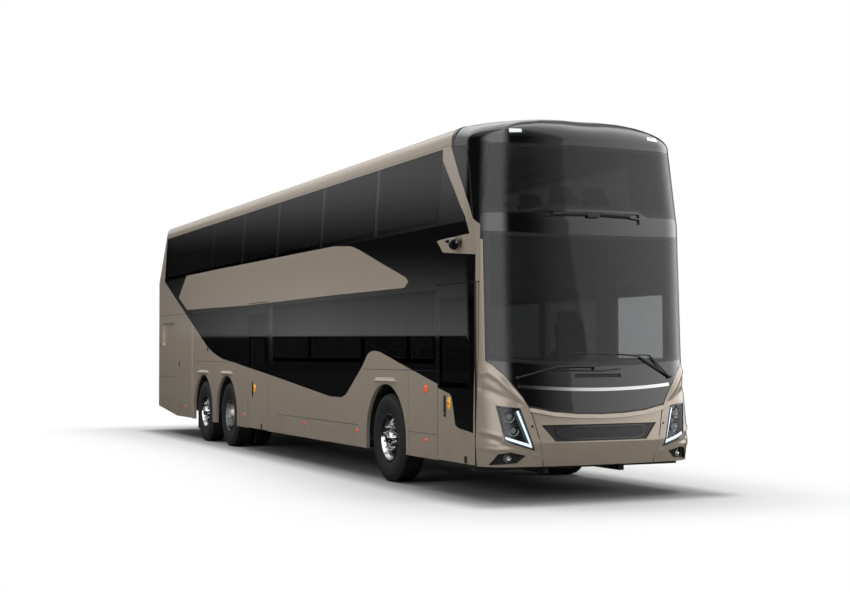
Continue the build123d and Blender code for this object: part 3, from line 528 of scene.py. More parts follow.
def nose_place(length, z, proud, side):
    """A point of the nose: length from its middle, height, and how far it stands proud."""
    angle, centre_x, centre_y = corner_start(z)
    away = abs(length)
    bow_length = BOW_RADIUS * angle
    corner_end = bow_length + CORNER_RADIUS * (math.pi / 2 - angle)
    if away <= bow_length:
        turned = away / BOW_RADIUS
        x = between(FRONT_STATIONS, z) - BOW_RADIUS + (BOW_RADIUS + proud) * math.cos(turned)
        y = (BOW_RADIUS + proud) * math.sin(turned)
    elif away <= corner_end:
        turned = angle + (away - bow_length) / CORNER_RADIUS
        x = centre_x + (CORNER_RADIUS + proud) * math.cos(turned)
        y = centre_y + (CORNER_RADIUS + proud) * math.sin(turned)
    else:
        x = centre_x - (away - corner_end)
        y = centre_y + CORNER_RADIUS + proud
    return Vector((station(x), side * y * (1 if length >= 0 else -1), z))


# Shapes: small helpers around Blender's own tools

def deselect():
    bpy.ops.object.select_all(action="DESELECT")


def edit(piece, *steps):
    """Runs steps on the whole of a piece in edit mode."""
    deselect()
    bpy.context.view_layer.objects.active = piece
    piece.select_set(True)
    bpy.ops.object.mode_set(mode="EDIT")
    bpy.ops.mesh.select_all(action="SELECT")
    for step, options in steps:
        step(**options)
    bpy.ops.object.mode_set(mode="OBJECT")


def closed_and_outward(piece):
    edit(piece, (bpy.ops.mesh.remove_doubles, {"threshold": 0.00002}),
         (bpy.ops.mesh.dissolve_degenerate, {"threshold": 0.00001}),
         (bpy.ops.mesh.normals_make_consistent, {"inside": False}))


def on_faces(piece, chosen, step, **options):
    """Runs one step in edit mode on the faces that pass a test."""
    edit(piece, (bpy.ops.mesh.select_mode, {"type": "FACE"}),
         (bpy.ops.mesh.select_all, {"action": "DESELECT"}))
    for face in piece.data.polygons:
        face.select = chosen(face)
    bpy.ops.object.mode_set(mode="EDIT")
    step(**options)
    bpy.ops.object.mode_set(mode="OBJECT")


def modified(piece, kind, **settings):
    """A modifier set and applied."""
    modifier = piece.modifiers.new(kind.lower(), kind)
    for name, value in settings.items():
        setattr(modifier, name, value)
    deselect()
    bpy.context.view_layer.objects.active = piece
    piece.select_set(True)
    bpy.ops.object.modifier_apply(modifier=modifier.name)
    return piece


def thickened(piece, thickness, axis=0):
    """A sheet turned to face along an axis and made solid inwards."""
    closed_and_outward(piece)
    if sum(f.normal[axis] * f.area for f in piece.data.polygons) < 0:
        piece.data.flip_normals()
    return modified(piece, "SOLIDIFY", thickness=thickness, offset=-1)


def smooth(piece, degrees=35):
    deselect()
    bpy.context.view_layer.objects.active = piece
    piece.select_set(True)
    bpy.ops.object.shade_smooth_by_angle(angle=math.radians(degrees))


def outline_loop(points, filled=True):
    """A closed outline from a circle whose corners are moved to their places."""
    deselect()
    bpy.ops.mesh.primitive_circle_add(vertices=len(points),
                                      fill_type="NGON" if filled else "NOTHING")
    piece = bpy.context.object
    for vertex, point in zip(piece.data.vertices, points):
        vertex.co = point
    return piece


def finished(piece, name, finish, body="root", smooth_angle=35, replaces=()):
    """Names a piece, gives it its finish and lets it ride on its body."""
    piece.name = name
    piece.data.name = name
    piece.data.materials.clear()
    piece.data.materials.append(FINISHES[finish])
    if smooth_angle:
        smooth(piece, smooth_angle)
    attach(piece, body)
    if replaces:
        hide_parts(*replaces)
    return piece


def copied(piece, matrix):
    """A copy with its own mesh, moved by a matrix that goes into the mesh."""
    mesh = piece.data.copy()
    mesh.transform(matrix)
    if matrix.determinant() < 0:
        mesh.flip_normals()
    twin = bpy.data.objects.new("copy", mesh)
    bpy.context.scene.collection.objects.link(twin)
    return twin


def joined(pieces):
    deselect()
    for piece in pieces:
        piece.select_set(True)
    bpy.context.view_layer.objects.active = pieces[0]
    bpy.ops.object.join()
    return bpy.context.object


def spun(profile, centre, side, steps=72):
    """A closed profile of (radius, distance outwards) turned about a wheel's axis."""
    x, y, z = centre
    piece = outline_loop([(x, y + side * w, z + r) for r, w in profile], filled=False)
    edit(piece, (bpy.ops.mesh.spin, {"steps": steps, "angle": math.tau, "center": centre,
                                     "axis": (0, 1, 0)}))
    closed_and_outward(piece)
    return piece


def block(centre, size, bevel=0.0, segments=3):
    """A box with rounded edges."""
    deselect()
    bpy.ops.mesh.primitive_cube_add(size=1, location=(0, 0, 0))
    piece = bpy.context.object
    piece.data.transform(Matrix.Translation(centre) @ Matrix.Diagonal((*size, 1)))
    if bevel:
        modified(piece, "BEVEL", width=bevel, segments=segments, limit_method="NONE")
    return piece


def tube(points, radius, sides=12):
    """A round bar through points, with rounded knees."""
    pieces = []
    for first, second in zip(points, points[1:]):
        start, end = Vector(first), Vector(second)
        along = end - start
        deselect()
        bpy.ops.mesh.primitive_cylinder_add(vertices=sides, radius=radius, depth=along.length)
        bar = bpy.context.object
        turn = along.to_track_quat("Z", "Y").to_matrix().to_4x4()
        bar.data.transform(Matrix.Translation((start + end) / 2) @ turn)
        modified(bar, "BEVEL", width=radius * 0.3, segments=2)
        pieces.append(bar)
    return joined(pieces) if len(pieces) > 1 else pieces[0]


def nose_plate(outline, proud, thickness, side, grid=0.035, rim=0.0):
    """A plate laid on the nose from (distance across, height) points, or only its rim."""
    flat = [(math.copysign(nose_length(abs(y), z), y), z, 0.0) for y, z in outline]
    piece = outline_loop(flat)
    if rim:
        edit(piece, (bpy.ops.mesh.inset, {"thickness": rim}))
        largest = max(face.area for face in piece.data.polygons)
        on_faces(piece, lambda face: face.area > 0.999 * largest, bpy.ops.mesh.delete,
                 type="FACE")
    steps = []
    for axis, normal in ((0, (1, 0, 0)), (1, (0, 1, 0))):
        low, high = min(p[axis] for p in flat), max(p[axis] for p in flat)
        count = max(1, int((high - low) / grid))
        for index in range(1, count):
            place = Vector(normal) * (low + (high - low) * index / count)
            steps += [(bpy.ops.mesh.select_all, {"action": "SELECT"}),
                      (bpy.ops.mesh.bisect, {"plane_co": place, "plane_no": normal})]
    edit(piece, *steps)
    for vertex in piece.data.vertices:
        vertex.co = nose_place(vertex.co.x, vertex.co.y, proud, side)
    return thickened(piece, thickness)


# Wheels

AXLES = {"front": 0.0, "drive": -6.95, "tag": -8.44}
HUB_Z = 0.52
SINGLE_Y, TWIN_OUTER_Y, TWIN_PITCH = 1.10, 1.085, 0.33
TREAD = [(0.286, -0.118), (0.292, -0.126), (0.305, -0.129), (0.330, -0.136), (0.372, -0.1455),
         (0.410, -0.147), (0.440, -0.144), (0.452, -0.1445), (0.456, -0.141), (0.480, -0.1345),
         (0.497, -0.1295), (0.5115, -0.121), (0.518, -0.112)]
GROOVES = [-0.078, -0.027, 0.027, 0.078]
GROOVE_WIDTH, GROOVE_DEPTH, TREAD_RADIUS = 0.011, 0.014, 0.5195
CUT_PITCH, SHOULDER_RADIUS, SHOULDER_REACH = 3.75, 0.5, 0.083


def tyre_profile():
    """Half a tyre's section mirrored about its middle, with four grooves round the tread."""
    tread = []
    for at in GROOVES:
        half = GROOVE_WIDTH / 2
        floor = TREAD_RADIUS - GROOVE_DEPTH
        tread += [(TREAD_RADIUS, at - half), (floor, at - half * 0.6), (floor, at + half * 0.6),
                  (TREAD_RADIUS, at + half)]
    crown = [(TREAD_RADIUS, -0.100)] + tread + [(TREAD_RADIUS, 0.100)]
    return TREAD + crown + [(r, -w) for r, w in reversed(TREAD)]


def at_shoulder(face):
    """True for every second face round the tyre's two shoulders."""
    across, _, up = face.center
    turn = math.floor(math.degrees(math.atan2(up, across)) / CUT_PITCH + 0.5)
    return (math.hypot(across, up) > SHOULDER_RADIUS and abs(face.center.y) > SHOULDER_REACH
            and turn % 2 == 0)


def add_tyres():
    """Tyres with rounded walls, bead rings, grooves and shoulder cuts."""
    model = spun(tyre_profile(), (0, 0, 0), 1, steps=96)
    on_faces(model, at_shoulder, bpy.ops.mesh.inset, thickness=0.0022, depth=-0.007)
    for axle, x in AXLES.items():
        for side_name, side in SIDES.items():
            rows = (SINGLE_Y,) if axle != "drive" else (TWIN_OUTER_Y, TWIN_OUTER_Y - TWIN_PITCH)
            pieces = [copied(model, Matrix.Translation((station(x), side * y, HUB_Z)))
                      for y in rows]
            tyre = joined(pieces) if len(pieces) > 1 else pieces[0]
            finished(tyre, f"road_tyre_{axle}_{side_name}", "tyre_rubber",
                     f"wheel_{axle}_{side_name}", 40, (f"tyre_{axle}_{side_name}",))
    bpy.data.objects.remove(model)


NUT_COUNT, NUT_CIRCLE = 10, 0.1465
CAP_PROFILE = [(0.0, 0.150), (0.0, 0.1635), (0.030, 0.1635), (0.036, 0.160), (0.040, 0.1535),
               (0.060, 0.1530), (0.066, 0.1505), (0.066, 0.150)]
DRIVE_CAP_PROFILE = [(0.0, 0.1845), (0.0, 0.190), (0.040, 0.190), (0.046, 0.1865),
                     (0.048, 0.1845)]
RIM_LIP = [(0.2862, 0.1175), (0.2862, 0.1265), (0.279, 0.1285), (0.262, 0.1245), (0.262, 0.1225),
           (0.279, 0.1262), (0.2845, 0.1250), (0.2845, 0.1175)]


def nut_ring(circle, seat, height, radius, count, side, hub):
    """Hexagon nuts with a round collar and a rounded end, set in a ring."""
    x, y, z = hub
    profile = [(0.0, seat), (radius * 1.35, seat), (radius * 1.3, seat + height * 0.18),
               (radius * 0.62, seat + height * 0.2), (radius * 0.62, seat + height * 1.0),
               (radius * 0.45, seat + height * 1.12), (0.0, seat + height * 1.15)]
    core = spun(profile, (0, 0, 0), side, steps=14)
    deselect()
    bpy.ops.mesh.primitive_cylinder_add(vertices=6, radius=radius, depth=height * 0.72,
                                        rotation=(math.pi / 2, 0, 0))
    hexagon = bpy.context.object
    bpy.ops.object.transform_apply(rotation=True)
    hexagon.data.transform(Matrix.Translation((0, side * (seat + height * 0.52), 0)))
    modified(hexagon, "BEVEL", width=radius * 0.12, segments=2, limit_method="ANGLE")
    nut = joined([core, hexagon])
    nuts = []
    for index in range(count):
        turn = Matrix.Rotation(math.tau * index / count, 4, "Y")
        spot = Matrix.Translation((x, y, z)) @ turn @ Matrix.Translation((0, 0, circle))
        nuts.append(copied(nut, spot))
    bpy.data.objects.remove(nut)
    return joined(nuts)


def add_wheel_fittings():
    """Nuts, hub caps, flange bolts and bright rim lips on the wheels."""
    for axle, x in AXLES.items():
        for side_name, side in SIDES.items():
            body = f"wheel_{axle}_{side_name}"
            title = f"{axle}_{side_name}"
            middle = SINGLE_Y if axle != "drive" else TWIN_OUTER_Y
            hub = (station(x), side * middle, HUB_Z)
            if axle == "drive":
                centre = (station(x), side * (TWIN_OUTER_Y - TWIN_PITCH / 2), HUB_Z)
                ring = nut_ring(0.139, -0.149, 0.030, 0.0165, NUT_COUNT, side, hub)
                cap = spun(DRIVE_CAP_PROFILE, centre, side, steps=48)
                bolts = nut_ring(0.058, 0.185, 0.010, 0.0075, 8, side, centre)
            else:
                centre = hub
                ring = nut_ring(NUT_CIRCLE, 0.1045, 0.032, 0.0165, NUT_COUNT, side, hub)
                cap = spun(CAP_PROFILE, hub, side, steps=48)
                bolts = nut_ring(0.0715, 0.1495, 0.008, 0.0045, 12, side, hub)
            finished(joined([ring, bolts]), f"wheel_nuts_{title}", "bright_metal", body)
            finished(cap, f"hub_cap_{title}", "alloy", body)
            lip = spun(RIM_LIP, hub, side, steps=96)
            finished(lip, f"rim_lip_{title}", "alloy", body)


# Nose: sculpted corners, lamps and bumper details

LAMP_OUTLINE = [(1.127, 0.980), (0.905, 0.951), (0.775, 0.535), (1.070, 0.630)]
FOG_OUTLINE = [(1.190, 0.378), (1.125, 0.492), (1.021, 0.513), (0.850, 0.474), (0.935, 0.400)]
SEAM_LINE = [(0.30, 0.642), (0.656, 0.720), (0.875, 0.774), (0.958, 0.802), (1.06, 0.862),
             (1.187, 0.958), (1.347, 1.089), (1.445, 1.186), (2.695, 1.186)]
CORNER_REAR, CORNER_LOW = 2.443, 0.360
# More than half of the corner's rows lie below the windscreen, where the folds are
CORNER_ROWS = [(0.0, CORNER_LOW), (0.55, 1.5), (1.0, 2.693)]
# Soft folds of the corner: points of station or distance across with a height, width and rise
FOLDS = [
    ([(1.255, 1.30), (1.17, 1.325), (1.09, 1.25), (0.98, 1.135), (0.88, 1.04)], 0.034, 0.013),
    ([(1.262, 1.17), (1.18, 1.13), (1.08, 1.07), (0.93, 1.0)], 0.045, -0.011),
    ([(1.272, 0.735), (1.18, 0.700), (1.11, 0.675)], 0.022, 0.009),
    ([(1.272, 0.68), (1.18, 0.645), (1.10, 0.60), (0.98, 0.55), (0.80, 0.49)], 0.030, -0.008),
    ([(1.262, 0.56), (1.13, 0.53), (1.02, 0.545), (0.85, 0.505), (0.66, 0.45)], 0.024, 0.008),
]


def fold_rise(length, z):
    """How far the corner's folds lift its surface at a point."""
    rise = 0.0
    for points, width, height in FOLDS:
        nearest = 9.0
        line = [(nose_length(y, at), at) for y, at in points]
        for (u0, z0), (u1, z1) in zip(line, line[1:]):
            run_u, run_z = u1 - u0, z1 - z0
            share = ((length - u0) * run_u + (z - z0) * run_z) / (run_u ** 2 + run_z ** 2)
            share = max(0.0, min(1.0, share))
            nearest = min(nearest, math.hypot(length - u0 - share * run_u, z - z0 - share * run_z))
        rise += height * math.exp(-(nearest / width) ** 2)
    return rise


def resized(outline, share):
    """An outline grown or shrunk about its middle."""
    middle_y = sum(y for y, _ in outline) / len(outline)
    middle_z = sum(z for _, z in outline) / len(outline)
    return [(middle_y + (y - middle_y) * share, middle_z + (z - middle_z) * share)
            for y, z in outline]


def lamp_prism(outline, side):
    """A block through the corner with a lamp's outline."""
    piece = outline_loop([(station(2.3), side * y, z) for y, z in outline])
    edit(piece, (bpy.ops.mesh.extrude_region_move,
                 {"TRANSFORM_OT_translate": {"value": (0.8, 0, 0)}}))
    closed_and_outward(piece)
    return piece


def make_corner(side):
    """A corner of the nose and its windscreen pillar, with soft folds, cut round its lamps."""
    deselect()
    bpy.ops.mesh.primitive_grid_add(x_subdivisions=64, y_subdivisions=150, size=1)
    corner = bpy.context.object
    for vertex in corner.data.vertices:
        across, rise = vertex.co.x + 0.5, vertex.co.y + 0.5
        z = between(CORNER_ROWS, rise)
        rear = corner_length(CORNER_REAR, z)
        front = nose_length(between(SEAM_LINE, z) + 0.003, z)
        length = rear + (front - rear) * across
        edge = min(1.0, min(across, 1 - across) * 9)
        foot = min(1.0, (z - CORNER_LOW) / 0.06)
        vertex.co = nose_place(length, z, 0.0005 + fold_rise(length, z) * edge * foot, side)
    thickened(corner, 0.022)
    for cutter in (lamp_prism(resized(LAMP_OUTLINE, 1.03), side), lamp_prism(FOG_OUTLINE, side)):
        modified(corner, "BOOLEAN", operation="DIFFERENCE", object=cutter, solver="EXACT")
        bpy.data.objects.remove(cutter)
    return corner


def add_corners():
    corners = [make_corner(side) for side in SIDES.values()]
    finished(joined(corners), "nose_corners", "champagne", smooth_angle=50,
             replaces=("front_corners",))


LIGHT_GUIDE = [(0.938, 0.925), (0.918, 0.932), (0.792, 0.553), (1.062, 0.643), (1.075, 0.672),
               (0.818, 0.590), (0.838, 0.640)]
MODULES = [(1.015, 0.868, 0.052), (0.975, 0.728, 0.050)]
# Layers of the headlamp: size, how far each stands proud, thickness and width of its rim
HOUSING = [("bezel", 1.035, 0.004, 0.030, 0.014), ("housing", 1.03, -0.062, 0.012, 0.0),
           ("wall", 1.03, -0.022, 0.045, 0.006)]


def lamp_module(y, z, radius, side, depth=0.045):
    """A bright bowl with a round lens in front of it, facing along the nose's normal."""
    length = nose_length(y, z)
    place = nose_place(length, z, -0.042, side)
    ahead = (nose_place(length, z, 0.1, side) - place).normalized()
    bowl_profile = [(0.006, -depth), (radius * 0.62, -depth * 0.8), (radius * 0.93, -depth * 0.25),
                    (radius, 0.0), (radius * 1.06, 0.002), (radius * 0.99, -depth * 0.3),
                    (radius * 0.66, -depth * 0.9), (0.006, -depth * 1.08)]
    lens_profile = [(0.0, -depth * 0.55), (radius * 0.56, -depth * 0.5),
                    (radius * 0.58, -depth * 0.3), (radius * 0.48, -depth * 0.02),
                    (radius * 0.30, depth * 0.16), (0.0, depth * 0.24)]
    bowl = spun(bowl_profile, (0, 0, 0), 1, steps=36)
    lens = spun(lens_profile, (0, 0, 0), 1, steps=36)
    turn = ahead.to_track_quat("Y", "Z").to_matrix().to_4x4()
    for piece in (bowl, lens):
        piece.data.transform(Matrix.Translation(place) @ turn)
    return bowl, lens


def add_lamps():
    """Headlamps, fog lamps and roof lamps, in place of the plain ones."""
    for side_name, side in SIDES.items():
        for title, share, proud, thickness, rim in HOUSING:
            layer = nose_plate(resized(LAMP_OUTLINE, share), proud, thickness, side, rim=rim)
            finished(layer, f"headlamp_{title}_{side_name}", "lamp_black")
        guide = nose_plate(LIGHT_GUIDE, -0.012, 0.014, side)
        finished(guide, f"headlamp_daylight_{side_name}", "daylight")
        bowls, lenses = zip(*(lamp_module(*module, side) for module in MODULES))
        finished(joined(bowls), f"headlamp_bowls_{side_name}", "bright_metal")
        finished(joined(lenses), f"headlamp_lenses_{side_name}", "lens_glass")
        cover = nose_plate(resized(LAMP_OUTLINE, 0.985), -0.003, 0.0035, side)
        finished(cover, f"headlamp_cover_{side_name}", "cover_glass")
        fog_bowl, fog_lens = lamp_module(1.030, 0.448, 0.042, side, depth=0.032)
        finished(fog_bowl, f"fog_lamp_bowl_{side_name}", "bright_metal")
        finished(fog_lens, f"fog_lamp_lens_{side_name}", "lens_glass")
    lamps = [cap_patch([(side * y, z) for y, z in ROOF_LAMP]) for side in SIDES.values()]
    finished(joined(lamps), "roof_lamps", "roof_lamp", replaces=("headlamps",))


CAP_X, CAP_Z, CAP_FOOT = 1.85, 3.75, 3.718
CAP_TOP, CAP_CROWN = 4.0, 0.05
CAP_ROWS, CAP_INWARD = 44, 1.3
CAP_DEPTHS = [(0.0, 0.29), (0.35, 0.305), (0.7, 0.37), (0.9, 0.46), (1.05, 0.52), (1.2, 0.51),
              (1.35, 0.42), (1.5, 0.30), (1.62, 0.21), (1.74, 0.17)]
ROOF_LAMP = [(0.94, 3.850), (0.80, 3.850), (0.78, 3.815), (0.915, 3.806)]


def cap_span():
    """Length round the cap's edge from its middle to its rear end."""
    angle, centre_x, _ = corner_start(CAP_Z)
    return BOW_RADIUS * angle + CORNER_RADIUS * (math.pi / 2 - angle) + centre_x - CAP_X


def cap_place(length, inward):
    """A point of the cap: some way round its edge, then inwards over the roof."""
    edge = nose_place(abs(length), CAP_Z, 0.0005, 1)
    share = min(1.0, abs(length) / cap_span())
    spine = Vector((station(CAP_X + 0.30 * (1 - share ** 2)), 0, CAP_Z))
    way = spine - edge
    inward = min(inward, way.length)
    place = edge + way * (inward / way.length)
    depth = between(CAP_DEPTHS, abs(length))
    power = 2.0 + 0.3 * max(0.0, share - 0.6) / 0.4
    left = 1 - min(1.0, inward / depth)
    high = CAP_TOP - CAP_CROWN * (place.y / 1.2) ** 2 - CAP_Z
    place.z += high * (1 - left ** power) ** (1 / power)
    place.y *= math.copysign(1, length)
    return place


def add_cap():
    """The black cap over the upper windscreen, rounded towards the roof and at its corners."""
    deselect()
    bpy.ops.mesh.primitive_grid_add(x_subdivisions=140, y_subdivisions=CAP_ROWS, size=1)
    cap = bpy.context.object
    span = cap_span()
    for vertex in cap.data.vertices:
        length = 2 * vertex.co.x * span
        share = vertex.co.y + 0.5
        if share < 0.5 / CAP_ROWS:
            vertex.co = nose_place(length, CAP_FOOT, 0.0005, 1)
        else:
            vertex.co = cap_place(length, CAP_INWARD * max(0.0, share - 1 / CAP_ROWS) ** 2.2)
    thickened(cap, 0.02, axis=2)
    finished(cap, "roof_cap", "black_gloss", smooth_angle=50, replaces=("front_cap",))


def cap_patch(corners):
    """A small plate that lies on the cap between four corners of (distance across, height)."""
    deselect()
    bpy.ops.mesh.primitive_grid_add(x_subdivisions=10, y_subdivisions=6, size=1)
    patch = bpy.context.object
    for vertex in patch.data.vertices:
        across, down = vertex.co.x + 0.5, vertex.co.y + 0.5
        (y0, z0), (y1, z1), (y2, z2), (y3, z3) = corners
        y = (y0 + (y1 - y0) * across) * (1 - down) + (y3 + (y2 - y3) * across) * down
        z = (z0 + (z1 - z0) * across) * (1 - down) + (z3 + (z2 - z3) * across) * down
        length = math.copysign(nose_length(abs(y), CAP_Z), y)
        low, high = 0.0, 0.4
        for _ in range(24):
            middle = (low + high) / 2
            low, high = (middle, high) if cap_place(length, middle).z < z else (low, middle)
        place = cap_place(length, low)
        across_way = cap_place(length + 0.01, low) - place
        upward = cap_place(length, low + 0.01) - place
        normal = across_way.cross(upward).normalized()
        vertex.co = place + normal * math.copysign(0.0025, normal.x)
    return thickened(patch, 0.010)


LEDGE_TOP = [(0.802, 0.962), (0.55, 0.912), (0.28, 0.889), (0.0, 0.881), (-0.28, 0.889),
             (-0.55, 0.912), (-0.802, 0.962)]
LEDGE_DROP, LEDGE_PROUD = 0.042, 0.016
LIP_TOP, LIP_DROP, LIP_PROUD = 0.448, 0.043, 0.014
SENSOR_Y, SENSOR_Z = 0.785, 0.771
GRILLE_RING = [(0.50, 0.765), (0.55, 0.735), (0.515, 0.66), (0.44, 0.628), (-0.44, 0.628),
               (-0.515, 0.66), (-0.55, 0.735), (-0.50, 0.765)]
HOOD_SLOT = [(0.272, 1.294), (-0.272, 1.294), (-0.272, 1.264), (0.272, 1.264)]


def nose_cord(points, proud, radius, side):
    """A round cord laid on the nose through points of (distance across, height)."""
    path = [nose_place(math.copysign(nose_length(abs(y), z), y), z, proud, side)
            for y, z in points]
    return tube(path, radius, 8)


def add_nose_seams_and_shadow_cord():
    """Black joints round the sculpted corners, a black cord under the black panel that stands in
    for the shadow in its gap as painted shadow, and the slot's grille.
    """
    joint = [(0.658, 0.366)] + [(y, z) for z, y in SEAM_LINE[1:8]]
    cords = [nose_cord(joint, 0.001, 0.0042, side)
             for side in SIDES.values()]
    # A black cord along the ledge top, under the black panel: painted shadow of the gap there
    cords.append(nose_cord([(y, z + 0.008) for y, z in LEDGE_TOP], 0.0, 0.0075, 1))
    slot = nose_plate(HOOD_SLOT, -0.010, 0.004, 1)
    finished(joined([*cords, slot]), "nose_seams_and_shadow_cord", "spring_rubber")


def add_bumper():
    """Ledge below the black panel, the lower lip, the grille's inner line and the sensors."""
    ledge_outline = LEDGE_TOP + [(y, z - LEDGE_DROP) for y, z in reversed(LEDGE_TOP)]
    ledge = nose_plate(ledge_outline, 0.0, 0.012, 1, grid=0.05)
    for vertex in ledge.data.vertices:
        top = between(sorted(LEDGE_TOP), vertex.co.y)
        share = max(0.0, min(1.0, (top - vertex.co.z) / LEDGE_DROP))
        vertex.co.x += LEDGE_PROUD * math.sin(share * math.pi / 2)
    finished(ledge, "bumper_ledge", "champagne")
    lip_outline = [(0.64, LIP_TOP), (-0.64, LIP_TOP), (-0.636, 0.405), (0.636, 0.405)]
    lip = nose_plate(lip_outline, 0.0, 0.010, 1, grid=0.04)
    for vertex in lip.data.vertices:
        share = max(0.0, min(1.0, (LIP_TOP - vertex.co.z) / LIP_DROP))
        vertex.co.x += LIP_PROUD * math.sin(share * math.pi)
    finished(lip, "bumper_lip", "champagne")
    ring = nose_plate(GRILLE_RING, -0.0155, 0.004, 1, rim=0.009)
    finished(ring, "grille_ring", "black_gloss")
    sensors = []
    for side in (-1, 1):
        place = nose_place(nose_length(SENSOR_Y, SENSOR_Z), SENSOR_Z, 0.001, side)
        sensor = spun([(0.0, -0.006), (0.0, 0.004), (0.010, 0.004), (0.013, 0.001),
                                 (0.013, -0.006)], (0, 0, 0), 1, steps=24)
        turn = Vector((1, 0.12 * side, 0.1)).to_track_quat("Y", "Z")
        sensor.data.transform(Matrix.Translation(place) @ turn.to_matrix().to_4x4())
        sensors.append(sensor)
    finished(joined(sensors), "park_sensors", "black_plastic")


LOWER_SCREEN = [(1.186, 1.447), (0.95, 1.418), (0.6, 1.395), (0.3, 1.382), (0.0, 1.379),
                (-0.3, 1.382), (-0.6, 1.395), (-0.95, 1.418), (-1.186, 1.447), (-1.186, 2.774),
                (-0.6, 2.757), (0.0, 2.751), (0.6, 2.757), (1.186, 2.774)]
UPPER_SCREEN = [(1.125, 3.716), (1.0, 3.722), (-1.0, 3.722), (-1.125, 3.716), (-1.148, 3.69),
                (-1.190, 2.967), (-0.700, 2.967), (-0.550, 3.024), (0.550, 3.024),
                (0.700, 2.967), (1.190, 2.967), (1.148, 3.69)]


def add_windscreens():
    """Smooth curved panes in place of the faceted ones."""
    panes = [nose_plate(outline, -0.0005, 0.008, 1, grid=0.06)
             for outline in (LOWER_SCREEN, UPPER_SCREEN)]
    finished(joined(panes), "front_panes", "windscreen_glass", smooth_angle=30,
             replaces=("windscreens",))


SLOT_SHAPE = [(0.470, 2.984), (0.0, 2.996), (-0.470, 2.984), (-0.470, 2.946), (0.0, 2.956),
              (0.470, 2.946)]


def add_upper_wiper():
    """Long slot between the windscreens with the wiper parked in it, on a block in its middle."""
    slot = nose_plate(SLOT_SHAPE, 0.0006, 0.004, 1)
    finished(slot, "wiper_slot", "spring_rubber")
    pieces = []
    for start, end in ((-0.455, -0.085), (0.085, 0.455)):
        path = []
        for index in range(7):
            y = start + (end - start) * index / 6
            z = 2.972 - 0.010 * (y / 0.47) ** 2
            path.append(nose_place(math.copysign(nose_length(abs(y), z), y), z, 0.006, 1))
        pieces.append(tube(path, 0.0075, 10))
    block_outline = [(0.078, 2.992), (-0.078, 2.992), (-0.070, 2.938), (0.070, 2.938)]
    pieces.append(nose_plate(block_outline, 0.010, 0.016, 1, rim=0.0))
    finished(joined(pieces), "upper_wiper", "black_plastic")
    lips = []
    for side in SIDES.values():
        outline = [(side * y, z) for y, z in ((0.60, 2.944), (0.47, 2.958), (0.47, 2.944),
                                              (0.60, 2.932))]
        lips.append(nose_plate(outline, 0.004, 0.008, 1))
    finished(joined(lips), "wiper_slot_lips", "black_gloss")


# Sides: handles, knobs, feet, markers, cameras and seals

HANDLES = {
    "front_door": (1.704, 0.973, 0.036, 0.180, "front_door_leaf"),
    "mid_door": (-5.440, 0.985, 0.036, 0.180, "mid_door_leaf"),
}
KNOBS = {"front_door": (1.806, 0.987), "mid_door": (-5.350, 0.985)}
LOCK = [(0.0, -0.004), (0.0, 0.012), (0.014, 0.012), (0.019, 0.008), (0.019, -0.004)]
TAP = [(0.0, -0.002), (0.0, 0.008), (0.040, 0.008), (0.052, 0.004), (0.056, -0.002)]
TAP_BUTTON = [(0.0, 0.006), (0.0, 0.016), (0.012, 0.015), (0.017, 0.010), (0.018, 0.006)]
LID_HANDLES = {"luggage_flap": (-8.123, 1.600), "service_door": (-10.150, 1.331)}


def side_point(x, proud, z, side=-1):
    return (station(x), side * (side_reach(z) + proud), z)


def side_button(profile, x, z, steps, stretch=(1, 1, 1)):
    """A turned form that stands out of the right side."""
    piece = spun(profile, (0, 0, 0), -1, steps)
    move = Matrix.Translation(side_point(x, 0.0, z)) @ Matrix.Diagonal((*stretch, 1))
    piece.data.transform(move)
    return piece


def add_handles():
    """Pull handles with their locks, and yellow emergency taps with a red button."""
    for door, (x, z, width, high, body) in HANDLES.items():
        grip = block(side_point(x, 0.004, z), (width + 0.006, 0.015, high + 0.006), 0.005)
        lock = side_button(LOCK, x, z - high / 2 - 0.028, 24)
        finished(joined([grip, lock]), f"{door}_handle", "black_plastic", body)
        plate = side_button(TAP, *KNOBS[door], 40, (0.78, 1, 1.25))
        finished(plate, f"{door}_tap", "tap_yellow", body)
        # The red button takes the lamp finish and glows a little: painted light, as the button is
        # no lamp
        button = side_button(TAP_BUTTON, *KNOBS[door], 28)
        finished(button, f"{door}_tap_button", "lamp_red", body)
    for lid, (x, z) in LID_HANDLES.items():
        for side_name, side in SIDES.items():
            grip = block(side_point(x, 0.004, z, side), (0.038, 0.014, 0.094), 0.004)
            finished(grip, f"{lid}_handle_{side_name}", "black_plastic", f"{lid}_{side_name}")


MARKERS = [(-9.672, 0.560, 0.062, 0.036), (-5.901, 0.560, 0.062, 0.036),
           (-2.988, 0.560, 0.062, 0.036), (-0.943, 0.560, 0.062, 0.036),
           (1.196, 0.560, 0.062, 0.036), (1.200, 1.125, 0.100, 0.080)]
# Seams and doors: rear end, front end, bottom and top
SEAMS = [(-0.73, 1.50, 1.325, 1.325), (0.70, 0.70, 0.362, 1.325), (0.70, 1.50, 0.630, 0.630),
         (-4.20, -0.90, 0.630, 0.630), (-2.755, -2.755, 0.362, 0.630),
         (-7.43, -6.15, 1.380, 1.380), (-7.69, -7.69, 0.365, 1.380), (-6.15, -6.15, 0.362, 1.380),
         (-11.79, -10.325, 2.245, 2.245), (-11.79, -10.325, 1.080, 1.080)]
DOOR_EDGES = [(1.505, 2.440, 0.372, 2.260), (-5.710, -4.680, 0.372, 2.295)]
UPPER_PANES = (-11.33, -9.855, -7.981, -6.113, -4.299, -2.345, -0.367, 1.55)
LOWER_PANES = (-4.62, -2.76, -0.74, 0.69, 1.45)
UPPER_GLASS, LOWER_GLASS = (2.93, 3.735), (1.40, 2.215)
QUARTER_SEAL = [(1.80, 3.735), (2.03, 3.715), (2.12, 3.685), (2.178, 3.62), (2.254, 3.416),
                (2.309, 3.132), (2.349, 2.96)]


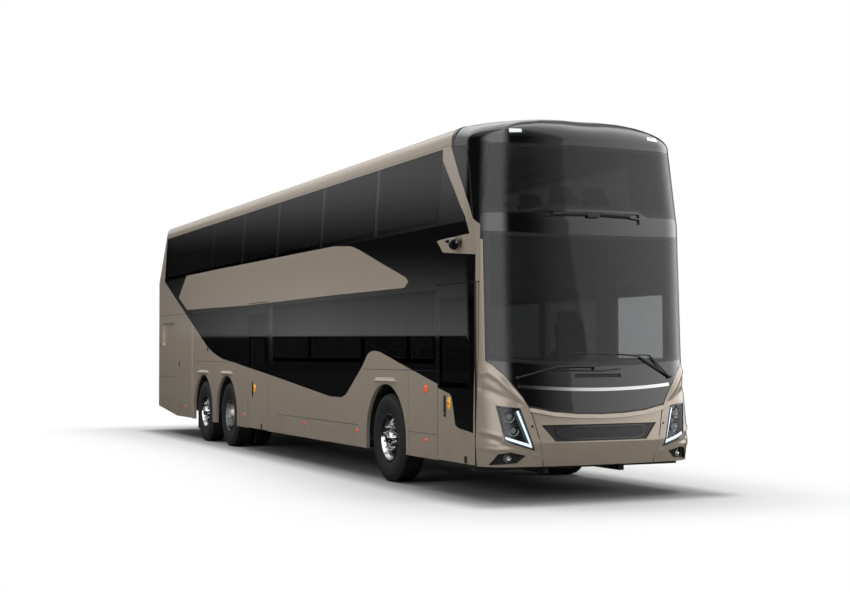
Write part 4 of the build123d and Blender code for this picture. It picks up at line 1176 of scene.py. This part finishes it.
def side_strip(x0, x1, z0, z1, proud, thickness, side):
    """A flat bar on the side wall that follows the wall's lean."""
    middle = ((x0 + x1) / 2, 0, (z0 + z1) / 2)
    strip = block(middle, (x1 - x0, thickness, z1 - z0), 0.0006, 1)
    for vertex in strip.data.vertices:
        x, depth, z = vertex.co
        vertex.co = (station(x), side * (side_reach(z) + proud - thickness / 2 + depth), z)
    if side < 0:
        strip.data.flip_normals()
    return strip


def nose_seal(stations, radius):
    """A rubber cord laid on both sides of the nose through (station, height) points."""
    cords = []
    for side in SIDES.values():
        path = []
        for x, z in stations:
            angle, centre_x, _ = corner_start(z)
            if x > centre_x:
                length = corner_length(x, z)
            else:
                length = BOW_RADIUS * angle + CORNER_RADIUS * (math.pi / 2 - angle) + centre_x - x
            path.append(nose_place(length, z, 0.0, side))
        cords.append(tube(path, radius, 8))
    return joined(cords)


def add_pane_joints():
    """Rubber in the joints between the side panes, printed bands beside them, and the seals."""
    joints, bands = [], []
    rows = [(side, UPPER_PANES, UPPER_GLASS) for side in SIDES.values()]
    rows.append((SIDES["right"], LOWER_PANES, LOWER_GLASS))
    for side, panes, (low, high) in rows:
        for x in panes[1:-1]:
            joints.append(side_strip(x - 0.004, x + 0.004, low, high, -0.0005, 0.004, side))
            if low == UPPER_GLASS[0]:
                bands.append(side_strip(x + 0.006, x + 0.095, low + 0.004, high - 0.004, 0.0004,
                                        0.002, side))
        joints.append(side_strip(panes[0], panes[-1], high + 0.0005, high + 0.007, 0.0002, 0.004,
                                 side))
    bands.append(side_strip(-4.60, -4.43, LOWER_GLASS[0] + 0.004, LOWER_GLASS[1] - 0.004, 0.0004,
                            0.002, SIDES["right"]))
    joints.append(nose_seal(QUARTER_SEAL, 0.0045))
    finished(joined(joints), "pane_joints", "spring_rubber")
    finished(joined(bands), "pane_bands", "printed_band")
    gutters = [side_strip(-11.45, 1.72, 3.768, 3.780, 0.004, 0.009, side)
               for side in SIDES.values()]
    finished(joined(gutters), "roof_gutters", "champagne")


ARCH_PAINT = [(-0.700, 1.4005), (0.440, 1.4005), (0.30, 1.434), (0.10, 1.477), (-0.10, 1.519),
              (-0.20, 1.537), (-0.29, 1.545), (-0.38, 1.546), (-0.47, 1.537), (-0.54, 1.517),
              (-0.60, 1.483), (-0.66, 1.435)]
DOOR_PAINT = [(-5.6445, 1.1505), (-4.7455, 1.1505), (-4.7455, 1.2149), (-5.6445, 1.2925)]


def side_plate(outline, proud, thickness, side=-1):
    """A thin flat plate on the side wall with an outline of (station, height)."""
    plate = outline_loop([side_point(x, proud, z, side) for x, z in outline])
    edit(plate, (bpy.ops.mesh.extrude_region_move,
                 {"TRANSFORM_OT_translate": {"value": (0, -side * thickness, 0)}}))
    closed_and_outward(plate)
    return plate


def add_painted_glass():
    """Body colour painted over the lower panes beside each front wheel and on the middle door."""
    plates = [side_plate(ARCH_PAINT, 0.0012, 0.0024, side) for side in SIDES.values()]
    finished(joined(plates), "arch_paint", "champagne")
    door = side_plate(DOOR_PAINT, 0.0012, 0.0024)
    finished(door, "mid_door_paint", "champagne", "mid_door_leaf")


def add_seam_strips():
    """Dark sealing strips in the panel seams, and rubber along the upright edges of the doors."""
    strips = []
    for x0, x1, z0, z1 in SEAMS:
        for side in SIDES.values():
            size = (max(x1 - x0, 0.0052), 0.0016, max(z1 - z0, 0.0052))
            strips.append(block(side_point((x0 + x1) / 2, -0.0032, (z0 + z1) / 2, side),
                                size, 0.0006, 1))
    finished(joined(strips), "seam_strips", "spring_rubber")
    edges = []
    for rear, front, low, high in DOOR_EDGES:
        for x in (rear + 0.0022, front - 0.0022):
            edges.append(block(side_point(x, -0.012, (low + high) / 2),
                               (0.0036, 0.022, high - low), 0.0012, 2))
    finished(joined(edges), "door_edge_rubbers", "black_plastic")


def add_markers():
    """Amber side lamps: a rounded lens with a stepped foot. The rear pair sits on doors."""
    pieces = []
    for x, z, width, high in MARKERS:
        for side_name, side in SIDES.items():
            foot = block(side_point(x, 0.0015, z, side), (width + 0.004, 0.003, high + 0.004),
                         0.001)
            lens = block(side_point(x, 0.004, z, side), (width - 0.004, 0.008, high - 0.004),
                         0.003, 4)
            if x == MARKERS[0][0]:
                finished(joined([foot, lens]), f"service_door_marker_{side_name}", "lamp_amber",
                         f"service_door_{side_name}")
            else:
                pieces += [foot, lens]
    finished(joined(pieces), "side_markers", "lamp_amber", replaces=("marker_lamps",))


def add_cameras():
    """Black camera clusters beside the front windows, each a large and a small lens hood."""
    clusters = []
    for side in SIDES.values():
        forms = []
        for place, size in (((2.055, 0.048, 2.672), (0.105, 0.046, 0.068)),
                            ((1.960, 0.040, 2.708), (0.062, 0.034, 0.030)),
                            ((1.935, 0.062, 2.706), (0.034, 0.030, 0.024)),
                            ((2.105, 0.020, 2.700), (0.055, 0.024, 0.034))):
            deselect()
            bpy.ops.mesh.primitive_uv_sphere_add(segments=24, ring_count=14, radius=1)
            form = bpy.context.object
            x, proud, z = place
            form.data.transform(Matrix.Translation(side_point(x, proud, z, side))
                                @ Matrix.Diagonal((*size, 1)))
            forms.append(form)
        cluster = joined(forms)
        modified(cluster, "REMESH", mode="VOXEL", voxel_size=0.006)
        modified(cluster, "SMOOTH", factor=0.5, iterations=4)
        clusters.append(cluster)
    finished(joined(clusters), "camera_clusters", "black_gloss", smooth_angle=80,
             replaces=("camera_pods",))


def add_door_feet():
    """Black guide brackets at the foot of each passenger door."""
    for door, x in (("front_door", 2.223), ("mid_door", -4.980)):
        bracket = block(side_point(x, 0.004, 0.415), (0.052, 0.010, 0.070), 0.003)
        pin = tube([side_point(x, 0.004, 0.45), side_point(x, 0.004, 0.375)], 0.009)
        finished(joined([bracket, pin]), f"{door}_foot", "black_plastic", f"{door}_leaf")


# Seats

SEAT_PITCH = 0.8
SEAT_HINGE, SEAT_LEAN = (-0.03, 0, 0.45), 0.13
LOWER_FLOOR, UPPER_FLOOR = 0.480, 2.330
STAIRS = (-6.36, -3.86)
SEAT_PARTS = [
    ("cushion", (0.190, 0.0, 0.435), (0.56, 0.405, 0.115)),
    ("back", (-0.105, 0.0, 0.760), (0.095, 0.400, 0.620)),
    ("headrest", (-0.155, 0.0, 1.085), (0.075, 0.300, 0.125)),
]


def seat_part(place, size):
    """A padded form: a divided box with soft corners."""
    part = block((0, 0, 0), size)
    edit(part, (bpy.ops.mesh.subdivide, {"number_cuts": 2}))
    for vertex in part.data.vertices:
        share = Vector((abs(vertex.co.x) * 2 / size[0], abs(vertex.co.y) * 2 / size[1],
                        abs(vertex.co.z) * 2 / size[2]))
        crown = 1 - 0.10 * max(share.y ** 2 * share.z ** 2, share.x ** 2 * share.y ** 2)
        vertex.co *= crown
    modified(part, "SUBSURF", levels=1, render_levels=1)
    part.data.transform(Matrix.Translation(place))
    return part


def seat_rows():
    """Place of every seat: station, floor height and distance across."""
    rows = [(1.230, 0.880, 0.640)]
    for row in range(4):
        across = (-0.975, -0.545) if row == 3 else (-0.975, -0.545, 0.545, 0.975)
        rows += [(-1.75 - row * SEAT_PITCH, LOWER_FLOOR, y) for y in across]
    for row in range(15):
        x = 1.35 - row * SEAT_PITCH
        rows += [(x, UPPER_FLOOR, y) for y in (-0.935, -0.505)]
        if not STAIRS[0] < x < STAIRS[1]:
            rows += [(x, UPPER_FLOOR, y) for y in (0.505, 0.935)]
    return rows


def add_seats():
    """Padded seats on their legs, in place of the plain ones."""
    lean = (Matrix.Translation(SEAT_HINGE) @ Matrix.Rotation(-SEAT_LEAN, 4, "Y")
            @ Matrix.Translation(SEAT_HINGE).inverted())
    parts = []
    for title, place, size in SEAT_PARTS:
        part = seat_part(place, size)
        if title != "cushion":
            part.data.transform(lean)
        parts.append(part)
    seat = joined(parts)
    legs = block((0.18, 0, 0.19), (0.12, 0.32, 0.38), 0.01, 2)
    shell = block((-0.150, 0, 0.72), (0.020, 0.38, 0.56), 0.008, 2)
    shell.data.transform(lean)
    stand = joined([legs, shell])
    pads, stands = [], []
    for x, floor, y in seat_rows():
        spot = Matrix.Translation((station(x), y, floor))
        pads.append(copied(seat, spot))
        stands.append(copied(stand, spot))
    bpy.data.objects.remove(seat)
    bpy.data.objects.remove(stand)
    cushions = finished(joined(pads), "seat_cushions", "seat_fabric", smooth_angle=60,
                        replaces=("seats",))
    finished(joined(stands), "seat_stands", "cabin_grey")


def add_driver_place():
    """Steering wheel rim, spokes and boss, with its column."""
    tilt = (Matrix.Translation((station(1.83), 0.64, 1.33))
            @ Matrix.Rotation(-math.radians(30), 4, "Y"))
    deselect()
    bpy.ops.mesh.primitive_torus_add(major_radius=0.23, minor_radius=0.0165, major_segments=64,
                                     minor_segments=14)
    rim = bpy.context.object
    spokes = []
    for turn in (20, 160, 270):
        spoke = block((0.125, 0, -0.006), (0.21, 0.032, 0.012), 0.005, 2)
        spoke.data.transform(Matrix.Rotation(math.radians(turn), 4, "Z"))
        spokes.append(spoke)
    boss = block((0, 0, -0.004), (0.13, 0.15, 0.036), 0.016, 3)
    wheel = joined([rim, boss, *spokes])
    wheel.data.transform(tilt)
    column = tube([(station(1.84), 0.64, 1.315), (station(2.10), 0.64, 1.06)], 0.03)
    finished(joined([wheel, column]), "driver_wheel", "black_plastic", smooth_angle=50,
             replaces=("steering_wheel",))


# Studio: floor, surroundings and lamps. Numbers in pairs are a range, those in fours also say
# what it is turned into. Rise is the sine of a direction's height, heading its angle in radians.

FLOOR_LIT = (0.42, 0.415, 0.405)
FLOOR_MIRRORED = (0.008, 0.008, 0.008)
FLOOR_INSIDE = (0.04, 0.04, 0.04)
FLOOR_WHITE = (0.46, 0.46, 0.46)
BLACK, WHITE = (0.0, 0.0, 0.0), (1.0, 1.0, 1.0)
FLOOR_FADE = (0.4, 2.5)
# Painted contact shadow on the floor: distance from the footprint, and how far towards black
PAINTED_CONTACT_SHADOW = (0.0, 0.5, 0.55, 0.0)
FOOTPRINT = (7.45, 1.27)
INSIDE_SHARE = 0.2
ASIDE = (2.40, 2.68)
OVER_SIDE, CEILING = (0.20, 0.62, 0.0, 1.3), (0.30, 1.0, 0.0, 0.48)
SLANT_START, SLANT = 2.844, 0.16
MID_BAND = (0.112, 0.180, 0.0, 0.46)
HORIZON_EDGE, HORIZON_FADE = (0.0110, 0.0122, 0.0, 1.0), (0.0, 0.077, 1.0, 0.0)
HORIZON_LEVEL = (2.81, 2.91, 0.47, 0.06)
GROUND = (-0.5, 0.0, 0.06, 0.0)
AHEAD_EDGE, AHEAD_SOFTNESS = (0.05, 0.14, 0.485, 0.40), (0.0, 0.015)
AHEAD_LEVEL, BEFORE_EDGE = (0.40, 1.40, 0.80, 2.3), (0.20, 0.42, 0.0, 0.42)
AHEAD_END, AHEAD_FOOT = (1.7, 2.3, 1.0, 0.0), (-0.5, 0.0, 0.75, 1.0)
CORNER_START, CORNER_END = (-1.7, -1.0, 0.0, 1.0), (-0.45, 0.10, 1.0, 0.0)
CORNER_LEVEL = (-0.4, 0.0, 1.0, 1.9)
DOME = (-0.2, 0.8, 0.62, 0.80)
LAMPS = {"overhead": ((1, -1, 13), (0, 0, 0), (22, 9), 4200),
         "front_side": ((10, -16, 7), (1, -1, 1.6), (6, 5), 600),
         "driver_side": ((14, 8, 4), (7.2, 0.8, 1.0), (3, 3), 450)}


def seen_straight(path):
    """One for what the camera sees, also through glass, and nought for light that has bounced."""
    direct = (1.0 - path["Diffuse Depth"]).clamped()
    return path["Is Camera Ray"].larger(path["Is Transmission Ray"] * direct)


def add_floor():
    """A pale floor that fades into the white behind it, with the coach's shadow on it and a
    painted contact shadow under and round the coach.
    """
    deselect()
    bpy.ops.mesh.primitive_plane_add(size=160, location=(0, 0, 0))
    floor = bpy.context.object
    floor.name = "studio_floor"
    material, tree, shader = new_material("studio_floor")
    path = light_path(tree)
    seen = seen_straight(path)
    unseen = blend(path["Is Glossy Ray"], FLOOR_LIT, FLOOR_MIRRORED)
    inside = blend(path["Is Transmission Ray"], unseen, FLOOR_INSIDE)
    near = blend(seen, inside, FLOOR_WHITE)
    across = [(abs(place) - half).larger(0.0)
              for place, half in zip(object_place(tree), FOOTPRINT)]
    away = seen.math("SQRT", across[0] * across[0] + across[1] * across[1])
    faded = remap(away, *FLOOR_FADE) * seen
    # Painted contact shadow: the floor darkens towards black under the coach and fades out half a
    # metre beyond it
    near = blend(remap(away, *PAINTED_CONTACT_SHADOW), near, BLACK)
    set_shader(shader, Base_Color=blend(faded, near, BLACK),
               Emission_Color=blend(faded, BLACK, WHITE), Emission_Strength=1.0, Roughness=0.9,
               Specular_IOR_Level=0.0)
    floor.data.materials.append(material)


def add_world():
    """White behind the coach, an even dome for its light and a studio of bands for its gloss."""
    world = bpy.data.worlds.new("studio")
    bpy.context.scene.world = world
    world.use_nodes = True
    tree = world.node_tree
    tree.nodes.clear()
    path = light_path(tree)
    coordinates = add_node(tree, "ShaderNodeTexCoord")
    x, y, rise = parted(tree, coordinates.outputs["Generated"])
    heading = rise.math("ARCTAN2", y, x)
    beside = abs(heading)
    aside = remap(beside, *ASIDE)
    ceiling = (remap(rise, *OVER_SIDE) * aside).larger(remap(rise, *CEILING))
    mid = remap(rise - (SLANT_START - beside) * SLANT, *MID_BAND) * aside
    band = (remap(rise, *HORIZON_EDGE) * remap(rise, *HORIZON_FADE)
            * remap(beside, *HORIZON_LEVEL, smooth=False) * aside)
    side = ceiling.larger(mid).larger(band).larger(remap(rise, *GROUND))
    past_edge = remap(heading - remap(rise, *AHEAD_EDGE, smooth=False), *AHEAD_SOFTNESS)
    ahead = remap(heading, *BEFORE_EDGE).larger(
        past_edge * remap(heading, *AHEAD_LEVEL, smooth=False))
    ahead_lit = ahead * remap(heading, *AHEAD_END) * remap(rise, *AHEAD_FOOT)
    corner_lit = (remap(heading, *CORNER_START) * remap(heading, *CORNER_END)
                  * remap(rise, *CORNER_LEVEL))
    gloss = side.larger(ahead_lit.larger(corner_lit))
    through = path["Is Transmission Ray"]
    plain = remap(rise, *DOME) * (1.0 - through * (1.0 - INSIDE_SHARE))
    lighting = blend(path["Is Glossy Ray"] * (1.0 - through), plain, gloss)
    background = add_node(tree, "ShaderNodeBackground")
    feed(background.inputs["Color"], blend(seen_straight(path), lighting, WHITE))
    output = add_node(tree, "ShaderNodeOutputWorld")
    tree.links.new(background.outputs[0], output.inputs["Surface"])


def add_lamp(name, place, aim, size, power):
    """A soft oblong lamp that looks at a point."""
    data = bpy.data.lights.new(name, "AREA")
    data.shape = "RECTANGLE"
    data.size, data.size_y = size
    data.energy = power
    lamp = bpy.data.objects.new(name, data)
    away = Vector(aim) - Vector(place)
    turn = away.to_track_quat("-Z", "Y").to_matrix().to_4x4()
    lamp.matrix_world = Matrix.Translation(place) @ turn
    lamp.visible_glossy = False
    lamp.visible_transmission = False
    bpy.context.scene.collection.objects.link(lamp)


bpy.context.scene.view_settings.view_transform = "Standard"
add_camera()
add_floor()
add_world()
for title, setting in LAMPS.items():
    add_lamp(title, *setting)
dress_frame()
add_tyres()
add_wheel_fittings()
add_corners()
add_lamps()
add_cap()
add_bumper()
add_nose_seams_and_shadow_cord()
add_windscreens()
add_upper_wiper()
add_pane_joints()
add_painted_glass()
add_seam_strips()
add_handles()
add_markers()
add_cameras()
add_door_feet()
add_seats()
add_driver_place()
